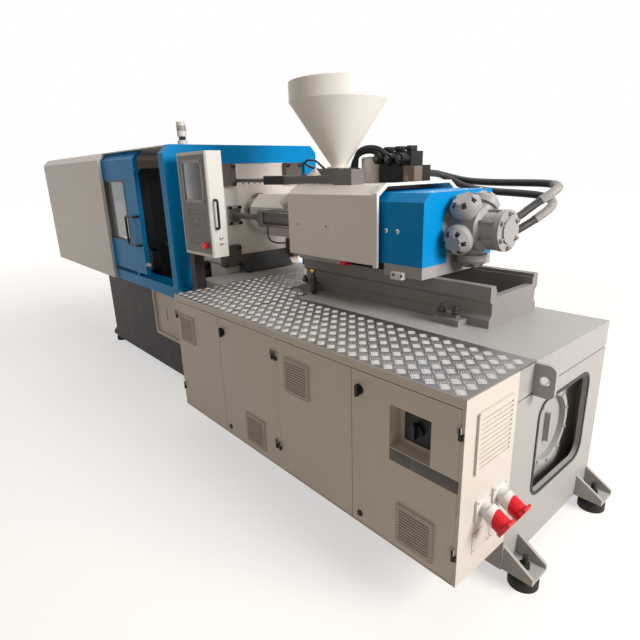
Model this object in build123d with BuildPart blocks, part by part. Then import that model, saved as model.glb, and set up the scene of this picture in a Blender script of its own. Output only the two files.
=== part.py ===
from build123d import *
import os
from math import acos, cos, degrees, radians, sin, tan

os.makedirs("parts", exist_ok=True)

# All sizes are in millimetres. X runs along the machine towards its injection end,
# the operator stands on the -Y side, and Z is up from the floor.

# Overall layout
base_length = 2050
unit_reach = 2050  # datum of the injection unit past the joint of the beds
platen_gap = 10
platen_thickness = 180
portal_lead = 8
door_gap = 468
door_view = 600  # how much of the closed door shows in front of the clamp cover
cover_length = 1560
foot_reach = 110  # foot channels past the ends of the beds
cabinet_reach = 783  # from the machine axis to the face of the cabinet doors
guard_half = 581  # half width of the clamp guards
lock_reach = 20  # door locks past the cabinet doors
axis_z = 1175  # height of the machine axis
portal_setback = base_length + platen_gap + platen_thickness - portal_lead
cover_reach = portal_setback + door_gap + door_view + cover_length
end_x = (cover_reach - foot_reach) / 2
axis_y = (cabinet_reach + lock_reach - guard_half) / 2
front_y = axis_y - cabinet_reach

# Clearances
overrun = 10  # cuts run this far past the faces that they leave
running = 0.08  # radial play of a pin or rod in its bore
slip = 0.3  # play between faces that slide past each other
open_play = 0.8  # radial play at the pivots that close the toggle loop
seam = 3  # gap round doors

# Beds
pad_height = 55
deck_top = 818
bed_top = 667
bed_half = 489
base_back = 240
clamp_bed_length = 1690
bed_plate = 20
joint_x = end_x - base_length
unit_x = joint_x + unit_reach
bed_left = joint_x - clamp_bed_length
bed_front = axis_y - bed_half
bed_back = axis_y + bed_half
base_rear = axis_y + base_back

# End window of the base and the tank hatch behind it
window_width = 415
window_height = 370
window_radius = 55
window_offset = 108
window_z = 455
bay_depth = 55
hatch_radius = 150
hatch_depth = 33
hatch_rim = 20
hatch_step = 12
hatch_pull = 120
hatch_pull_width = 14
groove_z = 706
groove_width = 8
groove_depth = 6

# Lifting lug
lug_reach = 70
lug_height = 114
lug_thickness = 15
lug_hole = 17
lug_radius = 24
lug_offset = 385

# Foot channels and levelling pads
foot_width = 110
foot_height = 95
foot_plate = 12
foot_lip = 26
foot_inset = 62
foot_hole = 12
pad_radius = 53
pad_neck = 36
pad_rubber = 28
stud_radius = 10
stud_height = 60
nut_radius = 19
nut_height = 16

# Product drop and access panel in the clamp bed
drop_setback = 70
drop_length = 540
drop_half = 230
drop_floor = 240
drop_mouth = 330
access_length = 735
access_low = 296
access_high = 645
access_margin = 40
access_depth = 26
access_sheet = 10
access_edge = 22
access_slot = 90
access_slot_width = 12

# Cabinet
cabinet_inset = 270  # free end of the base beside the cabinet
cabinet_length = base_length - cabinet_inset
cabinet_bottom = 180
sheet = 4
rim_height = 29
door_depth = 20
post_width = 12
pillar_depth = 45
hinge_play = 1
door_count = 4
hinge_block = 40
hinge_offset = 6
hinge_radius = 5
hinge_pin = 2.5
hinge_inset = 92
cab_left = end_x - cabinet_length
door_pitch = cabinet_length / door_count
door_low = cabinet_bottom + sheet + seam
door_high = deck_top - rim_height - seam

# Tread plates
tread = 5
tread_depth = 400
tread_split = 1243
tread_gap = 2

# Filter grilles: their places along each door, from the door's low end
grille_side = 150
grille_reach = 8
grille_radius = 6
grille_border = 14
grille_slots = 11
grille_slot_share = 0.45
grille_cut = 5
grille_high = 650
grille_low = 290
grille_shares = (0.27, 0.60, 0.32, 0.64)
end_grille_side = 205
end_grille_offset = 163
end_grille_z = 656

# Door locks, key locks and mains switch
lock_inset = 38
lock_z = 720
lock_radius = 17
lock_base = 7
lock_wing = 12
lock_wing_length = 46
lock_spindle = 8
lock_tail = 18
key_z = 224
key_radius = 12
key_reach = 5
recess_width = 161
recess_height = 152
recess_setback = 192
recess_z = 635
recess_depth = 55
switch_side = 104
switch_plate = 12
knob_radius = 24
knob_height = 12
knob_bar = 13
knob_bar_length = 54
knob_bar_height = 16
knob_spindle = 6
knob_tail = 8

# Power sockets on the end of the cabinet
socket_offset = 121
socket_pitch = 97
socket_z = 415
socket_flange = 80
socket_flange_depth = 8
socket_radius = 29
socket_neck = 30
socket_neck_radius = 23
socket_length = 62
socket_bore = 23
socket_bore_depth = 36
socket_tilt = 28  # degrees below the horizontal
lid_radius = 33
lid_thickness = 13
lid_pin = 5
lid_pin_length = 40

# Gear inside the cabinet
gear_plate = 6
gear_margin = 40
gear_block_depth = 110
gear_block_width = 190
gear_block_height = 330
gear_row_height = 90
gear_row_depth = 75
gear_gap = 45

# Platens and tie bars
platen_half_width = 330
platen_half_height = 310
platen_chamfer = 30
leg_inner = 190
bar_radius = 32.5
bar_half_y = 260
bar_half_z = 245
bar_tail = 215
block_side = 132
block_depth = 42
barrel_well = 128
barrel_well_depth = 105
nozzle_hole = 36
locating_radius = 50
locating_depth = 30
mould_bolt = 8
mould_bolt_depth = 40
mould_bolt_pitch = 280
daylight = 780
moving_thickness = 170
rod_flange = 45
rod_flange_depth = 16

# Toggle: equal links fold inwards, so the platen runs straight along the machine
opening_stroke = 340
link_length = 215
pin_row = 270
eye_radius = 38
pin_radius = 20
platen_pin_gap = 60
tail_pin_gap = 75
tail_thickness = 170
cheek_inner = 45
cheek_outer = 85
flank_inner = 88
flank_outer = 120
drive_half = 15
drive_eye = 24
drive_pin = 13
yoke_inner = 17
yoke_outer = 40
yoke_lead = 30
yoke_depth = 40
piston_rod = 25
piston_radius = 52
piston_depth = 40
cylinder_wall = 18
cylinder_cap = 36
cylinder_cap_side = 180
open_angle = degrees(acos(1 - opening_stroke / (2 * link_length)))
crosshead_stroke = opening_stroke / 2

# Ejector
ejector_half_y = 110
ejector_half_z = 38
ejector_depth = 24
ejector_well = 112
ejector_rod = 12
ejector_rod_pitch = 140
ejector_set = 10

# Guards
portal_depth = 67
portal_leg = 107
portal_beam = 110
portal_top = 1600
corner_cut = 48
rail_height = 73
rail_depth = 141
rail_inner = guard_half - rail_depth
rail_tail = 470
cover_wall = 24
roof_sheet = 7
door_play = 4
door_thickness = 30
door_width = 1100
door_lift = 25
roller_radius = 20
roller_inset = 160
bumper_radius = 14
bumper_length = 22
bumper_inset = 70
window_inset = 215
window_length = 640
window_low = 985
window_high = 1400
window_corner = 30
glass = 8
handle_radius = 8
handle_reach = 34
handle_low = 970
handle_high = 1165
handle_length = 150
handle_inset = 22
handle_bend = 18
rear_pull = 30

# Control panel
panel_lead = 267  # panel's right edge past its post
panel_width = 331
panel_low = 988
panel_high = 1545
panel_depth = 100
panel_offset = 550
panel_edge = 8
fascia_border = 16
fascia_sheet = 8
screen_width = 205
screen_height = 150
screen_drop = 95
screen_depth = 3
post_side = 60
post_inset = 50
post_low = 700
spigot_radius = 20
spigot_height = 50
stop_radius = 20
stop_neck = 12
stop_reach = 26
stop_cap = 14
stop_travel = 6
stop_inset = 48
grip_radius = 7
grip_reach = 32
grip_length = 150
grip_z = 1220
grip_bend = 14

# Light tower
tower_offset = 430
tower_base = 30
tower_base_height = 24
tower_neck = 20
tower_neck_height = 20
tower_radius = 28
tower_height = 125

# Slide casting under the injection unit
casting_setback = 285
casting_length = 1115
casting_half = 189
casting_wall = 44
casting_top = 970
casting_waist = 16
casting_head = 42
casting_foot = 34
casting_end = 30
way_height = 14
way_width = 36
clamp_length = 120
clamp_reach = 62
clamp_height = 44
clamp_step = 26
clamp_shares = (0.08, 0.86)
way_top = casting_top + way_height

# Carriage
hopper_gap = 194  # hopper axis to the valve manifold
feed_length = 158
feed_base_half = 190
feed_base_height = 50
feed_half = 242
feed_shoulder = 90
feed_rise = 163
feed_top_half = 115
throat_radius = 32
ram_y = 190
ram_radius = 42
ram_length = 300
ram_rod = 20
ram_entry = 40
barrel_radius = 52
barrel_bore = 18
barrel_inset = 50
barrel_head = 44
barrel_head_length = 44
nozzle_radius = 26
nozzle_tip = 8
nozzle_back = 33
nozzle_orifice = 3
guard_flat = 125
guard_wall = 3
guard_inset = 58
cover_half = 286
cover_low = 1020
cover_gap = 22
cover_cut_y = 57
cover_cut_z = 40
cover_end = 775
cover_sheet = 5
cover_rim = 8
cover_rim_length = 22

# Hopper
hopper_radius = 250
hopper_top = 1850
hopper_rim = 90
hopper_sheet = 4
hopper_neck = 39
hopper_neck_z = 1446
hopper_flange = 62
hopper_flange_height = 8
seat_left = 100
seat_right = 65
seat_half = 60
gate_half = 42
gate_sheet = 8
gate_level = 1400
gate_travel = 80
gate_reach = 110
gate_loop = 34
gate_wire = 7
chute_radius = 28
chute_sheet = 3
chute_y = 80
chute_fall = 39  # degrees below the horizontal
chute_swing = 36  # degrees from the machine's length towards the operator
chute_length = 265
chute_shift = 74
chute_z = 1420
chute_plug = 80

# Seat cylinders
upper_seat_y = 178
upper_seat_z = 1385
lower_seat_y = 205
lower_seat_z = 1178
seat_tube = 20
seat_rod = 11
seat_groove = 7
upper_flange = 14
upper_cap = 24
upper_cap_inset = 330
upper_cap_length = 190
upper_block_length = 128
upper_block_half = 42
upper_block_rise = 70
upper_block_shift = 184
lower_tube = 36
lower_rod = 17
lower_tube_length = 370
seat_travel = 150
seat_hold = 60

# Injection carriage: thrust plate, motor cover, motor and screw
thrust_setback = 560
thrust_thickness = 80
thrust_half = 236
thrust_top = 1318
plinth_length = 205
plinth_half = 262
plinth_height = 50
slider_width = 28
slider_reach = 26
slider_drop = 30
slider_length = 60
hood_length = 425
hood_top = 1330
hood_half = 262
hood_cut = 36
hood_sheet = 4
hood_eye = 132
coupling_radius = 36
coupling_length = 70
screw_shank = 16
screw_tip = 1905
screw_cone = 40
star_setback = 492
star_count = 5
star_phase = 36  # degrees from straight up, one cylinder points straight down
star_core = 92
star_hub = 60
star_arm = 50
star_arm_length = 106
star_head = 63
star_head_height = 26
star_dome = 40
star_dome_height = 28
star_pocket = 20
star_pocket_out = 43
star_pocket_floor = 6
star_pocket_count = 6
drum_back = 424
valve_radius = 72
valve_back = 360
valve_flange = 84
valve_flange_depth = 24
valve_end = 328
valve_nose = 50
port_radius = 24
port_reach = 88
port_rise = 27
hose_radius = 17
bend_share = 0.45

# Things on top of the injection cover
manifold_right = 872
manifold_length = 245
manifold_front = 100
manifold_back = 200
manifold_height = 80
valve_width = 56
valve_height = 66
valve_depth = 92
valve_pitch = 72
valve_count = 3
coil_radius = 24
coil_length = 56
canister_gap = 110  # canister axis past the hopper axis
canister_y = 152
canister_radius = 66
canister_height = 130
canister_round = 14

# Position transducer under the injection cover
gauge_length = 340
gauge_setback = 985
gauge_height = 26
gauge_depth = 32
gauge_low = 1000
gauge_cap = 32
gauge_lip = 3

# Places that several pieces share
platen_right = joint_x - platen_gap
platen_left = platen_right - platen_thickness
portal_left = end_x - portal_setback
portal_right = portal_left + portal_depth
moving_right = platen_left - daylight
moving_left = moving_right - moving_thickness
platen_pin_x = moving_left - platen_pin_gap
tail_pin_x = platen_pin_x - 2 * link_length * cos(radians(open_angle))
tail_right = tail_pin_x - tail_pin_gap
tail_left = tail_right - tail_thickness
rail_top = bed_top + rail_height
cover_left = end_x - cover_reach
cover_right = cover_left + cover_length
door_outer = guard_half - cover_wall - door_play
door_inner = door_outer - door_thickness
door_right = portal_left - door_gap
door_left = door_right - door_width
door_bottom = rail_top + door_lift
door_top = portal_top - roof_sheet - door_play
manifold_left = unit_x - manifold_right - manifold_length
hopper_x = manifold_left - hopper_gap
feed_top = axis_z + feed_rise
cover_top = feed_top + cover_gap
feed_right = hopper_x + feed_length / 2
feed_left = hopper_x - feed_length / 2
shoe_low = way_top + slip
thrust_right = unit_x - thrust_setback
thrust_left = thrust_right - thrust_thickness
plinth_right = thrust_right + hood_sheet
plinth_top = way_top + slip + plinth_height
star_x = unit_x - star_setback
valve_x = unit_x - valve_back
mould_axis = Axis((0, axis_y, axis_z), (1, 0, 0))


def save(piece, name):
    piece.part.label = name
    export_step(piece.part, f"parts/{name}.step")


def block(x, y, z, mode=Mode.ADD):
    """A box between the low and high ends given for each direction."""
    with Locations(((x[0] + x[1]) / 2, (y[0] + y[1]) / 2, (z[0] + z[1]) / 2)):
        Box(x[1] - x[0], y[1] - y[0], z[1] - z[0], mode=mode)


def bar_x(radius, x, y, z, mode=Mode.ADD):
    with Locations(Location(((x[0] + x[1]) / 2, y, z), (0, 90, 0))):
        Cylinder(radius, x[1] - x[0], mode=mode)


def bar_y(radius, x, y, z, mode=Mode.ADD):
    with Locations(Location((x, (y[0] + y[1]) / 2, z), (90, 0, 0))):
        Cylinder(radius, y[1] - y[0], mode=mode)


def bar_z(radius, x, y, z, mode=Mode.ADD):
    with Locations((x, y, (z[0] + z[1]) / 2)):
        Cylinder(radius, z[1] - z[0], mode=mode)


def side_plane(x, y, z):
    """A plane that faces the operator, with X to the right and Z up."""
    return Plane(origin=(x, y, z), x_dir=(1, 0, 0), z_dir=(0, -1, 0))


def end_plane(x, y, z):
    """A plane that faces the injection end, with Y to the right and Z up."""
    return Plane(origin=(x, y, z), x_dir=(0, 1, 0), z_dir=(1, 0, 0))


def outline(points):
    """A flat face inside the closed line through the points."""
    Polygon(*points, align=None)


def grille(plane, side, slots):
    """A raised filter frame with a row of louvre slots."""
    inner = side - 2 * grille_border
    pitch = inner / slots
    with BuildSketch(plane) as frame:
        RectangleRounded(side, side, grille_radius)
    extrude(frame.sketch, amount=grille_reach)
    with BuildSketch(plane.offset(grille_reach)) as louvres:
        with GridLocations(inner, pitch, 1, slots):
            Rectangle(inner, pitch * grille_slot_share)
    extrude(louvres.sketch, amount=-grille_cut, mode=Mode.SUBTRACT)


def foot_channel(x_face, way, y):
    """A channel foot that stands out of the end of a bed, with a levelling hole."""
    tip = x_face + way * foot_reach
    low_x, high_x = min(x_face, tip), max(x_face, tip)
    low_y, high_y = y - foot_width / 2, y + foot_width / 2
    block((low_x, high_x), (low_y, high_y), (pad_height, pad_height + foot_plate))
    for cheek_y in (low_y + foot_plate, high_y):
        with BuildSketch(side_plane(0, cheek_y, pad_height)) as cheek:
            outline([(x_face, 0), (tip, 0), (tip, foot_lip), (x_face, foot_height)])
        extrude(cheek.sketch, amount=foot_plate)
    sole = (pad_height - overrun, pad_height + foot_plate + overrun)
    bar_z(foot_hole, (x_face + tip) / 2, y, sole, Mode.SUBTRACT)


def guard_profile(half, low, top, cut_y, cut_z):
    """The closed outline of a guard with its two top corners cut."""
    return [
        (-half, low), (-half, top - cut_z), (cut_y - half, top),
        (half - cut_y, top), (half, top - cut_z), (half, low),
    ]


# Beds: welded boxes on channel feet
front_foot = bed_front + foot_inset
base_feet = (front_foot, base_rear - foot_inset)
bed_feet = (front_foot, bed_back - foot_inset)

with BuildPart() as injection_base:
    block((joint_x, end_x), (bed_front, base_rear), (pad_height, deck_top))
    bay_right = end_x - bed_plate
    bay_left = bay_right - bay_depth
    bay_y = (bed_front + bed_plate, base_rear - bed_plate)
    block((bay_left, bay_right), bay_y, (pad_height + bed_plate, groove_z), Mode.SUBTRACT)
    window_y = axis_y - window_offset
    with BuildSketch(end_plane(end_x, window_y, window_z)):
        RectangleRounded(window_width, window_height, window_radius)
    extrude(amount=-bed_plate - overrun, mode=Mode.SUBTRACT)
    with BuildSketch(end_plane(bay_left, window_y, window_z)):
        Circle(hatch_radius)
    extrude(amount=hatch_step)
    with BuildSketch(end_plane(bay_left, window_y, window_z)):
        Circle(hatch_radius)
        Circle(hatch_radius - hatch_rim, mode=Mode.SUBTRACT)
    extrude(amount=hatch_depth)
    pull_y = (window_y - hatch_pull_width / 2, window_y + hatch_pull_width / 2)
    pull_z = (window_z - hatch_pull / 2, window_z + hatch_pull / 2)
    block((bay_left, bay_left + hatch_depth), pull_y, pull_z)
    groove = (groove_z, groove_z + groove_width)
    block((end_x - groove_depth, end_x + overrun), (bed_front, base_rear), groove, Mode.SUBTRACT)
    lug_x = (end_x, end_x + lug_reach)
    lug_y = axis_y - lug_offset
    with BuildSketch(side_plane(end_x, lug_y + lug_thickness / 2, deck_top - lug_height)) as lug_face:
        with Locations((lug_reach / 2, lug_height / 2)):
            Rectangle(lug_reach, lug_height)
        outer_corners = lug_face.vertices().group_by(Axis.X)[-1]
        fillet(outer_corners, lug_radius)
        with Locations((lug_reach / 2, lug_height / 2)):
            Circle(lug_hole, mode=Mode.SUBTRACT)
    extrude(amount=lug_thickness)
    for foot_y in base_feet:
        foot_channel(end_x, 1, foot_y)
save(injection_base, "injection_base")

drop_right = platen_left - drop_setback
drop_left = drop_right - drop_length
access_right = joint_x - access_margin
access_left = access_right - access_length

with BuildPart() as clamp_bed:
    block((bed_left, joint_x), (bed_front, bed_back), (pad_height, bed_top))
    well_y = (axis_y - drop_half, axis_y + drop_half)
    block((drop_left, drop_right), well_y, (drop_floor, bed_top + overrun), Mode.SUBTRACT)
    mouth_z = (drop_floor, drop_floor + drop_mouth)
    block((drop_left, drop_right), (axis_y, bed_back + overrun), mouth_z, Mode.SUBTRACT)
    recess_y = (bed_front - overrun, bed_front + access_depth)
    block((access_left, access_right), recess_y, (access_low, access_high), Mode.SUBTRACT)
    for foot_y in bed_feet:
        foot_channel(bed_left, -1, foot_y)
save(clamp_bed, "clamp_bed")

with BuildPart() as bed_access_panel:
    panel_back = bed_front + access_depth
    face_y = (panel_back - access_sheet, panel_back)
    block((access_left, access_right), face_y, (access_low, access_high))
    frame_y = (bed_front, panel_back)
    for low_x in (access_left, access_right - access_edge):
        block((low_x, low_x + access_edge), frame_y, (access_low, access_high))
    for low_z in (access_low, access_high - access_edge):
        block((access_left, access_right), frame_y, (low_z, low_z + access_edge))
    slot_x = access_left + access_length / 4
    slot_z = (access_low + access_high) / 2
    with BuildSketch(side_plane(slot_x, face_y[0], slot_z)):
        SlotOverall(access_slot, access_slot_width, rotation=90)
    extrude(amount=-access_sheet, mode=Mode.SUBTRACT)
save(bed_access_panel, "bed_access_panel")

foot_spots = [(end_x + foot_reach / 2, y) for y in base_feet]
foot_spots += [(bed_left - foot_reach / 2, y) for y in bed_feet]
plain_spots = [(joint_x + foot_width, y) for y in base_feet]
pad_profile = [
    (0, 0), (pad_radius, 0), (pad_radius, pad_rubber), (pad_neck, pad_height), (0, pad_height),
]

with BuildPart() as levelling_pads:
    for spot_x, spot_y in foot_spots + plain_spots:
        with BuildSketch(side_plane(spot_x, spot_y, 0)):
            outline(pad_profile)
        revolve(axis=Axis((spot_x, spot_y, 0), (0, 0, 1)))
    for spot_x, spot_y in foot_spots:
        bar_z(stud_radius, spot_x, spot_y, (pad_height, pad_height + stud_height))
        nut_low = pad_height + foot_plate
        with BuildSketch(Plane.XY.offset(nut_low)):
            with Locations((spot_x, spot_y)):
                RegularPolygon(nut_radius, 6)
        extrude(amount=nut_height)
save(levelling_pads, "levelling_pads")

# Electrical cabinet: open carcass, gear inside, doors and tread plates
door_edges = []
for index in range(door_count):
    low = cab_left + index * door_pitch
    high = low + door_pitch
    if index % 2 == 0:
        door_edges.append((low + post_width + hinge_play, high - seam / 2))
    else:
        door_edges.append((low + seam / 2, high - post_width - hinge_play))
pillar_x = cab_left + cabinet_length / 2
hinge_levels = (door_low + hinge_inset, door_high - hinge_inset)
hinge_y = front_y - hinge_offset
hinge_lines = []
for index, (low, high) in enumerate(door_edges):
    if index % 2 == 0:
        hinge_lines.append((low - hinge_play / 2, -1))
    else:
        hinge_lines.append((high + hinge_play / 2, 1))


def knuckle(x, way, z):
    """Half of a hinge: a barrel on a small block that reaches along X the given way."""
    tip = x + way * post_width
    block((min(x, tip), max(x, tip)), (hinge_y, front_y), z)
    bar_z(hinge_radius, x, hinge_y, z)


with BuildPart() as cabinet_shell:
    block((cab_left, end_x), (front_y, bed_front), (cabinet_bottom, deck_top))
    inside_x = (cab_left + sheet, end_x - sheet)
    inside_y = (front_y - overrun, bed_front - sheet)
    block(inside_x, inside_y, (cabinet_bottom + sheet, deck_top - sheet), Mode.SUBTRACT)
    rim_y = (front_y, front_y + door_depth)
    block((cab_left, end_x), rim_y, (deck_top - rim_height, deck_top))
    post_y = (front_y, front_y + pillar_depth)
    full_height = (cabinet_bottom, deck_top)
    for low_x, high_x in (
        (cab_left, cab_left + post_width),
        (pillar_x - post_width, pillar_x + post_width),
        (end_x - post_width, end_x),
    ):
        block((low_x, high_x), post_y, full_height)
    for hinge_x, way in hinge_lines:
        for level in hinge_levels:
            middle = level + hinge_block / 2
            knuckle(hinge_x, way, (level, middle))
            bar_z(hinge_pin, hinge_x, hinge_y, (middle, level + hinge_block))
    end_grille_y = front_y + end_grille_offset
    grille(end_plane(end_x, end_grille_y, end_grille_z), end_grille_side, grille_slots)
save(cabinet_shell, "cabinet_shell")

gear_back = bed_front - sheet
gear_face = gear_back - gear_plate
with BuildPart() as control_gear:
    gear_x = (cab_left + sheet + gear_margin, end_x - sheet - gear_margin)
    gear_z = (cabinet_bottom + sheet + gear_margin, deck_top - sheet - gear_margin)
    block(gear_x, (gear_face, gear_back), gear_z)
    drive_z = (gear_z[0] + gear_gap, gear_z[0] + gear_gap + gear_block_height)
    for column in range(3):
        low_x = gear_x[0] + gear_gap + column * (gear_block_width + gear_gap)
        block((low_x, low_x + gear_block_width), (gear_face - gear_block_depth, gear_face), drive_z)
    row_x = (pillar_x + gear_gap, gear_x[1] - gear_gap)
    for row in range(3):
        low_z = gear_z[0] + gear_gap + row * (gear_row_height + gear_gap)
        block(row_x, (gear_face - gear_row_depth, gear_face), (low_z, low_z + gear_row_height))
save(control_gear, "control_gear")

for index, (low_x, high_x) in enumerate(door_edges):
    door_name = f"cabinet_door_{index + 1}"
    hinge_low = index % 2 == 0
    with BuildPart() as cabinet_door:
        block((low_x, high_x), (front_y, front_y + door_depth), (door_low, door_high))
        hollow_y = (front_y + sheet, front_y + door_depth + overrun)
        hollow_z = (door_low + sheet, door_high - sheet)
        block((low_x + sheet, high_x - sheet), hollow_y, hollow_z, Mode.SUBTRACT)
        grille_x = cab_left + (index + grille_shares[index]) * door_pitch
        level = grille_high if hinge_low else grille_low
        grille(side_plane(grille_x, front_y, level), grille_side, grille_slots)
        hinge_x, way = hinge_lines[index]
        for level in hinge_levels:
            half = (level + hinge_block / 2 + slip, level + hinge_block)
            knuckle(hinge_x, -way, half)
            bore = (level, level + hinge_block + overrun)
            bar_z(hinge_pin + running, hinge_x, hinge_y, bore, Mode.SUBTRACT)
        if not hinge_low:
            lock_x = low_x + lock_inset
            skin_y = (front_y - overrun, front_y + sheet + overrun)
            bar_y(lock_spindle + running, lock_x, skin_y, lock_z, Mode.SUBTRACT)
            bar_y(key_radius, lock_x, (front_y - key_reach, front_y), key_z)
        if index == door_count - 1:
            recess_x = end_x - recess_setback
            mouth_x = (recess_x - recess_width / 2, recess_x + recess_width / 2)
            mouth_z = (recess_z - recess_height / 2, recess_z + recess_height / 2)
            tub_x = (mouth_x[0] - sheet, mouth_x[1] + sheet)
            tub_z = (mouth_z[0] - sheet, mouth_z[1] + sheet)
            tub_back = front_y + recess_depth
            block(tub_x, (front_y, tub_back + sheet), tub_z)
            block(mouth_x, (front_y - overrun, tub_back), mouth_z, Mode.SUBTRACT)
            with BuildSketch(side_plane(recess_x, tub_back, recess_z)):
                RectangleRounded(switch_side, switch_side, grille_radius)
            extrude(amount=switch_plate)
            plate_front = tub_back - switch_plate
            stem_y = (plate_front - overrun, plate_front + knob_tail + slip)
            bar_y(knob_spindle + running, recess_x, stem_y, recess_z, Mode.SUBTRACT)
    save(cabinet_door, door_name)

for lock_name, index in (("door_lock_left", 1), ("door_lock_right", 3)):
    lock_x = door_edges[index][0] + lock_inset
    with BuildPart() as door_lock:
        bar_y(lock_radius, lock_x, (front_y - lock_base, front_y), lock_z)
        with BuildSketch(side_plane(lock_x, front_y - lock_base, lock_z)):
            SlotOverall(lock_wing_length, lock_wing, rotation=90)
        extrude(amount=lock_reach - lock_base)
        bar_y(lock_spindle, lock_x, (front_y, front_y + lock_tail), lock_z)
    save(door_lock, lock_name)

knob_x = end_x - recess_setback
knob_back = front_y + recess_depth - switch_plate
with BuildPart() as mains_knob:
    bar_y(knob_radius, knob_x, (knob_back - knob_height, knob_back), recess_z)
    with BuildSketch(side_plane(knob_x, knob_back - knob_height, recess_z)):
        SlotOverall(knob_bar_length, knob_bar, rotation=90)
    extrude(amount=knob_bar_height)
    bar_y(knob_spindle, knob_x, (knob_back, knob_back + knob_tail), recess_z)
save(mains_knob, "mains_knob")

with BuildPart() as tread_plates:
    split_x = end_x - tread_split
    tread_y = (front_y, front_y + tread_depth)
    for tread_x in ((cab_left, split_x - tread_gap / 2), (split_x + tread_gap / 2, end_x)):
        block(tread_x, tread_y, (deck_top, deck_top + tread))
save(tread_plates, "tread_plates")


# Power sockets: square flange, short neck, and a barrel that points out and down
def socket_mouth(y):
    """The plane of a socket's mouth, facing out and down."""
    fall = radians(socket_tilt)
    way = Vector(cos(fall), 0, -sin(fall))
    root = Vector(end_x + socket_flange_depth + socket_neck / 2, y, socket_z)
    return Plane(origin=root + way * socket_length, x_dir=(0, 1, 0), z_dir=way)


socket_places = [front_y + socket_offset + k * socket_pitch for k in range(2)]
with BuildPart() as power_sockets:
    for socket_y in socket_places:
        mouth = socket_mouth(socket_y)
        with BuildSketch(end_plane(end_x, socket_y, socket_z)):
            RectangleRounded(socket_flange, socket_flange, grille_radius)
        extrude(amount=socket_flange_depth)
        neck_right = end_x + socket_flange_depth + socket_neck
        bar_x(socket_neck_radius, (end_x + socket_flange_depth, neck_right), socket_y, socket_z)
        with BuildSketch(mouth):
            Circle(socket_radius)
        extrude(amount=-socket_length)
        with BuildSketch(mouth):
            Circle(socket_bore)
        extrude(amount=-socket_bore_depth, mode=Mode.SUBTRACT)
save(power_sockets, "power_sockets")

for index, socket_y in enumerate(socket_places):
    mouth = socket_mouth(socket_y)
    pivot = mouth.origin + mouth.y_dir * lid_radius + mouth.z_dir * (lid_thickness / 2)
    with BuildPart() as socket_lid:
        with BuildSketch(mouth):
            Circle(lid_radius)
        extrude(amount=lid_thickness)
        pin_y = (socket_y - lid_pin_length / 2, socket_y + lid_pin_length / 2)
        bar_y(lid_pin, pivot.X, pin_y, pivot.Z)
    save(socket_lid, f"socket_lid_{index + 1}")

# Clamping unit: fixed platen, tie bars and tailstock
bar_places = [
    (axis_y + side_y * bar_half_y, axis_z + side_z * bar_half_z)
    for side_y in (-1, 1)
    for side_z in (-1, 1)
]


def platen_plate(x, bore):
    """A platen with cut corners, bored for the tie bars."""
    with BuildSketch(end_plane(x[0], axis_y, axis_z)) as plate_face:
        Rectangle(2 * platen_half_width, 2 * platen_half_height)
        chamfer(plate_face.vertices(), platen_chamfer)
    extrude(plate_face.sketch, amount=x[1] - x[0])
    for bar_y_place, bar_z_place in bar_places:
        reach = (x[0] - overrun, x[1] + overrun)
        bar_x(bore, reach, bar_y_place, bar_z_place, Mode.SUBTRACT)


def platen_legs(x, low_z):
    """Two legs from under a platen to the bed."""
    for side in (-1, 1):
        edges = (axis_y + side * leg_inner, axis_y + side * (platen_half_width - platen_chamfer))
        block(x, (min(edges), max(edges)), (low_z, axis_z - platen_half_height))


upper_rod_y = axis_y - upper_seat_y
lower_rod_y = axis_y - lower_seat_y
lower_tube_left = feed_left - cover_sheet - lower_tube_length
upper_cap_left = joint_x + upper_cap_inset

with BuildPart() as stationary_platen:
    platen_plate((platen_left, platen_right), bar_radius + running)
    platen_legs((platen_left, platen_right), bed_top)
    well_x = (platen_right - barrel_well_depth, platen_right + overrun)
    bar_x(barrel_well, well_x, axis_y, axis_z, Mode.SUBTRACT)
    through_x = (platen_left - overrun, platen_right)
    bar_x(nozzle_hole, through_x, axis_y, axis_z, Mode.SUBTRACT)
    ring_x = (platen_left - overrun, platen_left + locating_depth)
    bar_x(locating_radius, ring_x, axis_y, axis_z, Mode.SUBTRACT)
    with BuildSketch(end_plane(platen_left, axis_y, axis_z)):
        with GridLocations(mould_bolt_pitch, mould_bolt_pitch, 2, 2):
            Circle(mould_bolt)
    extrude(amount=mould_bolt_depth, mode=Mode.SUBTRACT)
    flange_x = (platen_right, platen_right + rod_flange_depth)
    lower_rod_x = (platen_right, lower_tube_left + seat_travel + seat_hold)
    bar_x(rod_flange, flange_x, lower_rod_y, lower_seat_z)
    bar_x(lower_rod, lower_rod_x, lower_rod_y, lower_seat_z)
    upper_rod_x = (platen_right, upper_cap_left + seat_travel + seat_hold)
    bar_x(upper_flange, flange_x, upper_rod_y, upper_seat_z)
    bar_x(seat_rod, upper_rod_x, upper_rod_y, upper_seat_z)
save(stationary_platen, "stationary_platen")

with BuildPart() as tie_bar_blocks:
    for bar_y_place, bar_z_place in bar_places:
        with BuildSketch(end_plane(platen_right, bar_y_place, bar_z_place)):
            RectangleRounded(block_side, block_side, grille_radius)
        extrude(amount=block_depth)
save(tie_bar_blocks, "tie_bar_blocks")

with BuildPart() as tie_bars:
    for bar_y_place, bar_z_place in bar_places:
        bar_x(bar_radius, (tail_left - bar_tail, platen_right), bar_y_place, bar_z_place)
save(tie_bars, "tie_bars")

pin_rows = (axis_z - pin_row, axis_z + pin_row)


def pair(inner, outer):
    """The two Y ranges that mirror each other about the machine axis."""
    return ((axis_y - outer, axis_y - inner), (axis_y + inner, axis_y + outer))


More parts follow.
